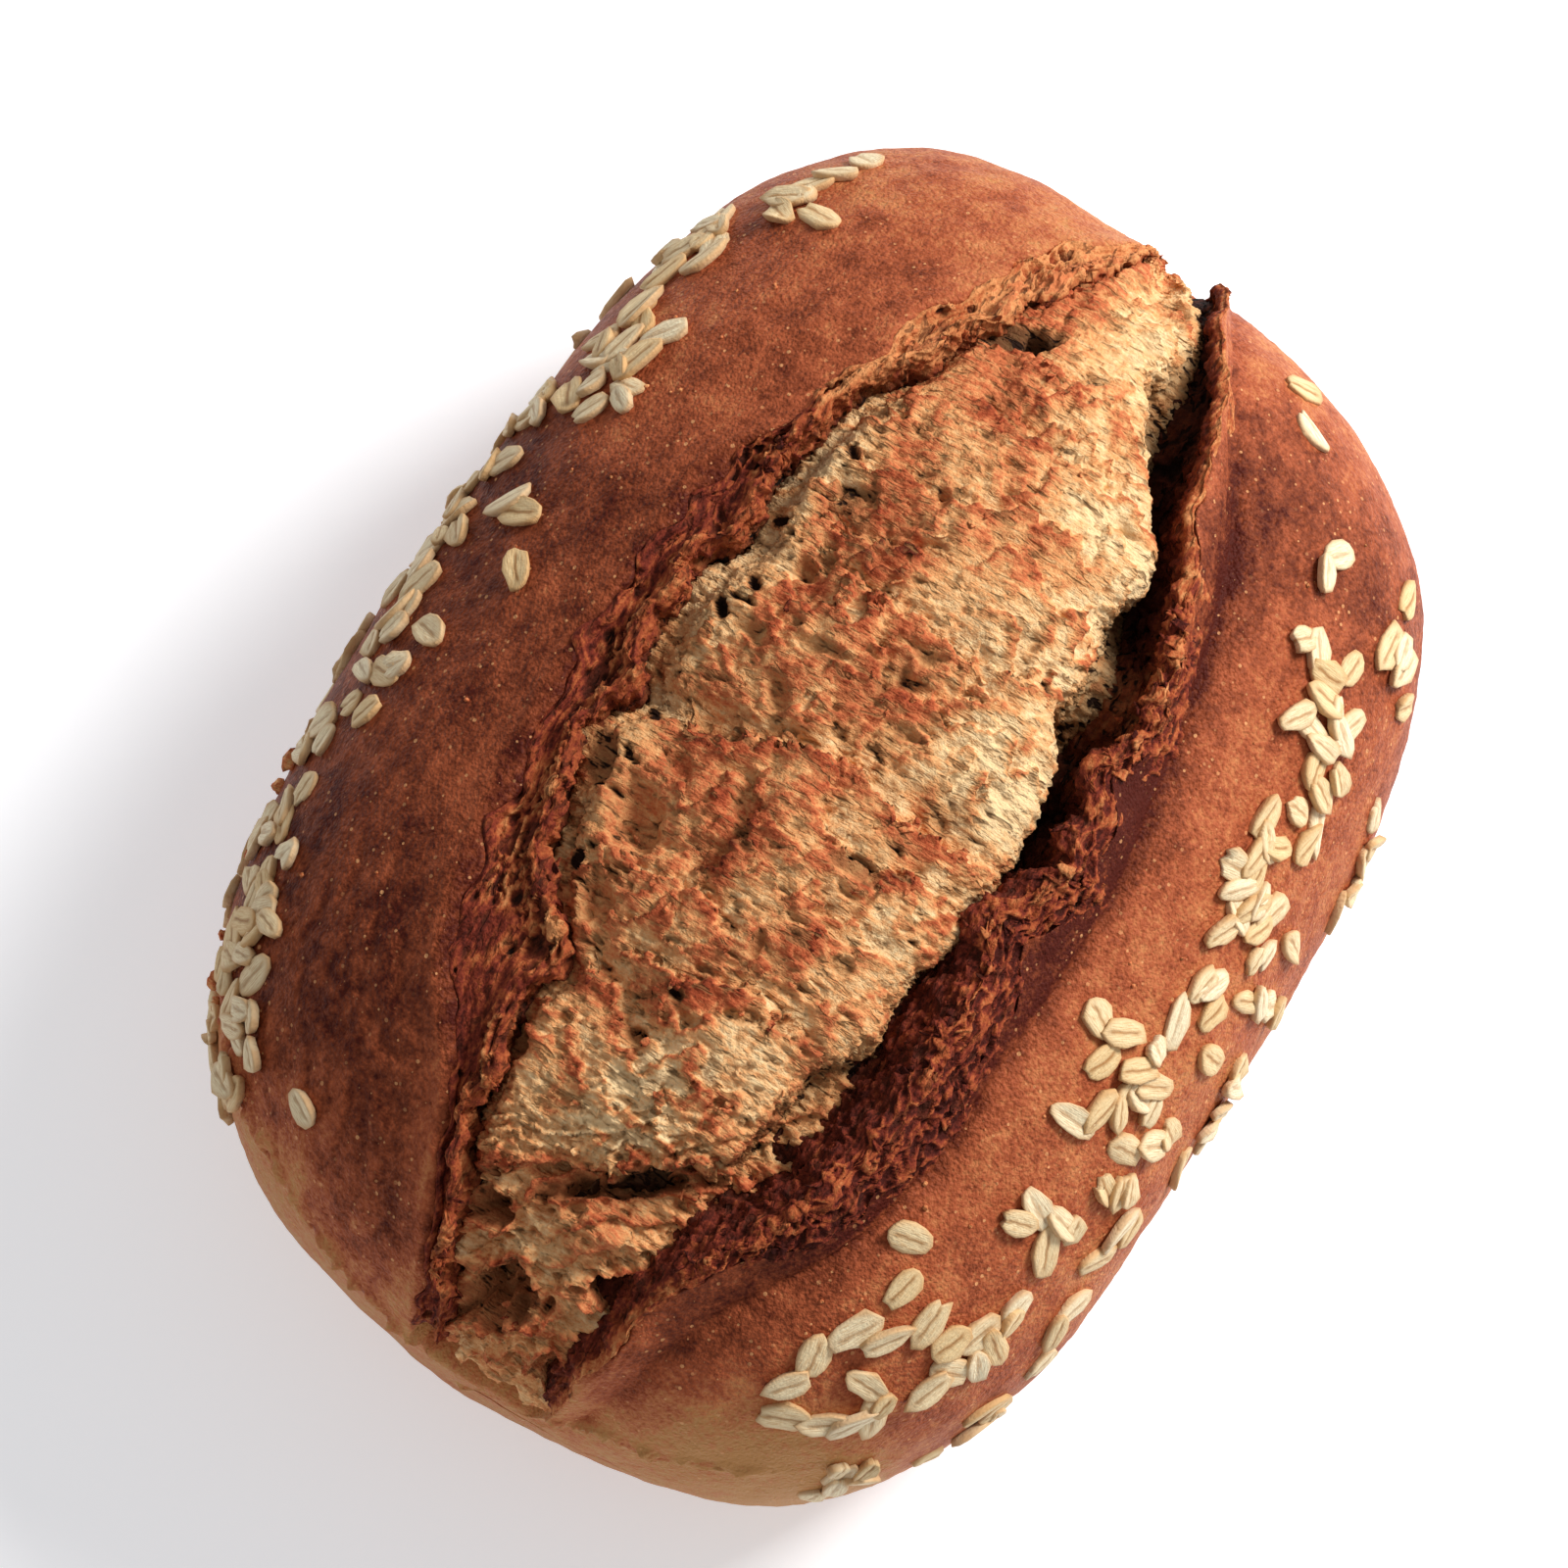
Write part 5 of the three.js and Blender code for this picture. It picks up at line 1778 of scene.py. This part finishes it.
@dataclass
class RolledOats:
    """All flakes on the crust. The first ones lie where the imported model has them, and more fill the clumps."""

    dough: Dough
    crust: CrustShell
    length: tuple[float, float] = (6.2, 9.4)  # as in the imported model
    width: tuple[float, float] = (3.9, 5.6)
    shrink: tuple[float, float] = (1.04, 0.97)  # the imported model's blunt flakes are a little larger
    thickness: float = 0.85
    spacing: float = 6.0
    spread: tuple[float, float] = (5.0, 7.0)  # of a clump, in degrees along and across
    lean: float = 12.0  # degrees out of the skin's plane
    clump_seed: int = 77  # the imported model's
    crowding: float = 2.0  # least distance of the extra flakes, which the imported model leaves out
    extra_lift: float = 0.55  # how far they lie above the skin
    extra_lean: float = 1.8  # how much more they lean
    shares: tuple[float, ...] = (0.62, 0.22, 0.16)  # of the whole, split and broken flakes
    deal_seed: int = 5
    shape_seed: int = 900
    rings: tuple = (  # from the middle out: radius, whether it lies underneath, and its share of the top
        (0.5, 0.0, 1.0), (0.9, 0.0, 1.0), (0.985, 0.0, 0.8), (1.0, 0.0, 0.2), (0.9, 1.0, 0.0))
    sectors: int = 12
    clumps: tuple = (
        (41, 58, 2), (53, 50, 2), (60, 46, 3), (66, 38, 10), (72, 32, 10), (79, 36, 11), (84, 22, 10),
        (90, 32, 5), (98, 41, 10), (103, 31, 13), (94, 9, 6), (112, 36, 6), (112, 17, 6), (124, 29, 11),
        (123, 47, 3), (134, 38, 11), (129, 47, 4), (138, 18, 8), (70, 8, 7), (126, 4, 6), (55, 25, 5),
        (51, 137, 9), (60, 147, 11), (70, 143, 12), (73, 133, 3), (78, 136, 2), (77, 152, 11),
        (86, 140, 4), (85, 155, 11), (94, 146, 8), (101, 148, 13), (108, 152, 10), (117, 153, 10),
        (124, 149, 13), (131, 148, 12), (137, 147, 10), (132, 129, 1), (66, 172, 9), (84, 176, 9),
        (102, 173, 9), (120, 176, 9), (135, 168, 8),
    )

    def choose(self) -> list[dict]:
        """Draws every flake of every clump, keeps those clear of the ones before, then adds closer ones.

        Returns:
            For each flake its spot, outward direction, length, width, spin, lean and lift.
        """
        draw = lcg(self.clump_seed)
        flakes, spare = [], []
        for phi_middle, theta_middle, count in self.clumps:
            for _ in range(count):
                phi = math.radians(phi_middle + self.spread[0] * (draw() + draw() + draw() - 1.5))
                theta = math.radians(theta_middle + self.spread[1] * (draw() + draw() + draw() - 1.5))
                spot, up = self.dough.at(phi, theta), self.dough.outward(phi, theta)
                flake = {"phi": phi, "theta": theta, "spot": spot, "up": up, "lift": 0.0,
                         "length": mix(*self.length, draw()), "width": mix(*self.width, draw()),
                         "spin": math.pi * draw(), "lean": math.radians(self.lean * (2 * draw() - 1))}
                clear = all(np.linalg.norm(other["spot"] - spot) > self.spacing for other in flakes)
                (flakes if clear else spare).append(flake)
        for flake in spare:
            near = min(np.linalg.norm(other["spot"] - flake["spot"]) for other in flakes)
            if near > self.crowding:
                flake["lift"] = self.extra_lift
                flake["lean"] *= self.extra_lean
                flake["length"] *= 0.74 + 0.3 * flake["spin"] / math.pi
                flake["width"] *= 0.76 + 0.26 * flake["spin"] / math.pi
                flakes.append(flake)
        return flakes

    def outline(self, kind: OatKind, angle: Array, draws: Array) -> tuple[Array, Array]:
        """The rim of a flake of half size 1: an egg-shaped oval with small waves.

        Args:
            kind: whole flakes are smooth, split ones have a notch at one tip, broken ones one straight side.
            angle: the directions of the rim's points.
            draws: three seeded numbers for each flake.

        Returns:
            Along and across.
        """
        turn = 2 * np.pi
        wave = 1 + sum(high * np.sin(times * angle + 6.28 * draws[:, i:i + 1])
                       for i, (high, times) in enumerate(((0.07, 3), (0.05, 5), (0.04, 7))))
        u, w = wave * np.cos(angle), wave * np.sin(angle) * (1 - 0.12 * np.cos(angle))
        if kind is OatKind.SPLIT:
            u = u - 0.24 * bell(angle - np.round(angle / turn) * turn, 0.0, 0.26)
        if kind is OatKind.BROKEN:
            cut = 0.4 + 0.4 * draws[:, 2:3]
            u = np.minimum(u, cut + 0.22 * np.sin(6 * w + 6.28 * draws[:, :1]) + 0.1 * np.sin(13 * w))
        return u, w

    def build_kind(self, kind: OatKind, flakes: list[dict], finish: bpy.types.Material, seed: int) -> bpy.types.Object:
        """One mesh with every flake of a kind: rings from the middle out, a rim, and a flat underside.

        The top is 1 - 0.16 r squared high, less a groove along the middle and a cup across it.

        Args:
            kind: the flakes' kind.
            flakes: what choose gave for them.
            finish: their material.
            seed: for their small differences.

        Returns:
            The piece.
        """
        rng = np.random.default_rng(seed)
        n = len(flakes)
        draws = rng.uniform(0, 1, (n, 4))
        angle = 2 * np.pi * np.arange(self.sectors)[None, :] / self.sectors
        rim_u, rim_w = self.outline(kind, np.broadcast_to(angle, (n, self.sectors)), draws)
        length, width, lean, spin, lift, phi, theta, up, spots = (
            np.array([flake[key] for flake in flakes])
            for key in ("length", "width", "lean", "spin", "lift", "phi", "theta", "up", "spot"))
        half = [0.5 * share * size[:, None] for share, size in zip(self.shrink, (length, width))]
        cup = rng.normal(0.0, 0.4, (n, 1))
        twist = rng.normal(0.0, 0.35, (n, 1))
        points, own = [], []

        def put(u: Array, w: Array, z: Array) -> None:
            """Adds one ring's points and their place on the flake."""
            points.append(np.stack([u * half[0], w * half[1], z + cup * w**2 * 0.8 + twist * u * w], -1))
            own.append(np.stack([u, w, np.broadcast_to(draws[:, 3:4], u.shape)], -1))

        zero = np.zeros((n, 1))
        put(zero, zero, zero + self.thickness * 0.72)
        for radius, under, share in self.rings:
            u, w = radius * rim_u, radius * rim_w
            groove = 0.24 * bell(w, 0.0, 0.14) * (1 - under)
            top = self.thickness * (1 - 0.16 * radius**2) - groove
            put(u, w, np.where(under > 0, -0.55, mix(0.25, top, share)))
        put(zero, zero, zero - 0.9)
        x, y, z = np.moveaxis(np.concatenate(points, axis=1), -1, 0)
        lean, spin = lean[:, None], spin[:, None]
        y, z = y * np.cos(lean) - z * np.sin(lean), y * np.sin(lean) + z * np.cos(lean)
        x, y = x * np.cos(spin) - y * np.sin(spin), x * np.sin(spin) + y * np.cos(spin)
        # The shortest turn from +Z to the outward direction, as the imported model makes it.
        axis = np.stack([-up[:, 1], up[:, 0], np.zeros(n)], -1)[:, None]
        local = np.stack([x, y, z], -1)
        cosine = up[:, 2][:, None, None]
        turned = local * cosine + np.cross(axis, local) + axis * (axis * local).sum(-1, keepdims=True) / (1 + cosine)
        rise, _ = self.crust.surface(phi, theta)
        vertices = turned + (spots + up * (rise + lift + 0.1)[:, None])[:, None]
        return make_piece(kind.value, vertices.reshape(-1, 3), *capped_rings(len(self.rings), self.sectors), finish,
                          {"flake": np.concatenate(own, axis=1).reshape(-1, 3)}, n)

    def build(self, finish: bpy.types.Material) -> list[bpy.types.Object]:
        """Deals the flakes out to the kinds, and makes one piece of each.

        Args:
            finish: the flakes' material.

        Returns:
            The pieces.
        """
        flakes = self.choose()
        log.info("%d oat flakes", len(flakes))
        deal = np.random.default_rng(self.deal_seed).choice(len(self.shares), len(flakes), p=self.shares)
        pieces = []
        for i, kind in enumerate(OatKind):
            chosen = [f for f, d in zip(flakes, deal) if d == i]
            if kind is OatKind.BROKEN:
                for flake in chosen:
                    flake["length"] *= 0.8
            pieces.append(self.build_kind(kind, chosen, finish, self.shape_seed + i))
        return pieces


# ---- Studio ----


@dataclass
class Studio:
    """A white paper floor, soft light from the +X side, and the camera above the loaf."""

    floor_half: float = 6000.0
    floor_gap: float = 0.2  # between the paper and the base
    target: tuple[float, float, float] = (0.0, 8.0, 38.0)
    azimuth: float = -58.0
    elevation: float = 74.0
    distance: float = 600.0
    lens: float = 87.35
    sensor: float = 36.0
    sky: float = 0.4
    sky_colour: tuple[float, ...] = (0.985, 0.99, 1.0, 1.0)
    key_power: float = 9.6
    key_size: float = 0.3  # metres, like where it stands and what it points at
    key_colour: tuple[float, ...] = (1.0, 0.985, 0.96)
    key_from: tuple[float, float, float] = (0.6, -0.36, 0.6)
    key_to: tuple[float, float, float] = (0.0, 0.0, 0.04)

    def floor(self, finish: bpy.types.Material) -> bpy.types.Object:
        """A flat square just under the base.

        Args:
            finish: its material.

        Returns:
            The floor.
        """
        half, level = self.floor_half / METRE, -self.floor_gap / METRE
        mesh = bpy.data.meshes.new("paper_floor")
        corners = [(x * half, y * half, level) for x, y in ((-1, -1), (1, -1), (1, 1), (-1, 1))]
        mesh.from_pydata(corners, [], [(0, 1, 2, 3)])
        mesh.materials.append(finish)
        floor = bpy.data.objects.new("paper_floor", mesh)
        bpy.context.scene.collection.objects.link(floor)
        return floor

    def light(self) -> None:
        """A white sky all round and one large soft panel from the far end."""
        world = bpy.data.worlds.new("studio")
        world.use_nodes = True
        sky = world.node_tree.nodes["Background"]
        sky.inputs["Color"].default_value = self.sky_colour
        sky.inputs["Strength"].default_value = self.sky
        bpy.context.scene.world = world
        panel = bpy.data.lights.new("key_panel", "AREA")
        panel.shape, panel.size, panel.energy = "SQUARE", self.key_size, self.key_power
        panel.color = self.key_colour
        key = bpy.data.objects.new("key_panel", panel)
        key.location = self.key_from
        key.rotation_euler = (Vector(self.key_to) - key.location).to_track_quat("-Z", "Y").to_euler()
        bpy.context.scene.collection.objects.link(key)

    def camera(self) -> None:
        """The photograph's view: back is (sin a cos e, -cos a cos e, sin e) from the target."""
        a, e = math.radians(self.azimuth), math.radians(self.elevation)
        back = Vector((math.sin(a) * math.cos(e), -math.cos(a) * math.cos(e), math.sin(e)))
        data = bpy.data.cameras.new("camera")
        data.lens, data.sensor_width = self.lens, self.sensor
        data.clip_start, data.clip_end = 0.05, 20.0
        camera = bpy.data.objects.new("camera", data)
        camera.location = (Vector(self.target) + back * self.distance) / METRE
        camera.rotation_euler = (-back).to_track_quat("-Z", "Y").to_euler()
        bpy.context.scene.collection.objects.link(camera)
        bpy.context.scene.camera = camera


def main() -> None:
    logging.basicConfig(level=logging.INFO, format="%(name)s: %(message)s")
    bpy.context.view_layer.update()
    scene = bpy.context.scene
    scene.view_settings.view_transform = "Standard"
    dough, tear = Dough(), Tear()
    crust_finish = BrownedCrust().material()
    crumb_finish = TornCrumb().material()
    # The toasted tear's third and fourth colours are its painted shade: dark brown in its recesses, near black in the
    # deepest.
    toasted_finish = TornCrumb(
        "toasted tear", (0xC9774A, 0xD9955F, 0xC27A4A, 0xA9552F, 0x7A3020, 0x42160F), 0x4A2414, 0x180A05,
        fibre_mm=(2.6, 1.0, 1.4), slit_mm=(3.0, 1.2, 2.0)).material()
    crust = CrustShell(dough, tear)
    crust.build(crust_finish)
    band, ear, bloom, terrace = (kind(dough, tear) for kind in (RoughBand, LiftedEar, TornCrumbBloom, LowerTerrace))
    for sheet in (band, ear):
        sheet.build(toasted_finish)
    for sheet in (bloom, terrace):
        sheet.build(crumb_finish)
    skin = Shreds("torn_shreds", long=(0.8, 2.1), wide=(0.6, 1.7))
    skin.build([(ear, 190), (band, 130)], toasted_finish, seed=31)
    crumb = Shreds("crumb_shreds", long=(0.5, 1.6), wide=(0.5, 1.4), thick=0.22)
    crumb.build([(bloom, 130), (terrace, 60)], crumb_finish, seed=33)
    ToastedBits(dough, crust).build(crumb_finish, seed=35)
    RolledOats(dough, crust).build(RolledOat().material())
    studio = Studio()
    studio.floor(StudioPaper().material())
    studio.light()
    studio.camera()


if __name__ == "__main__":
    main()
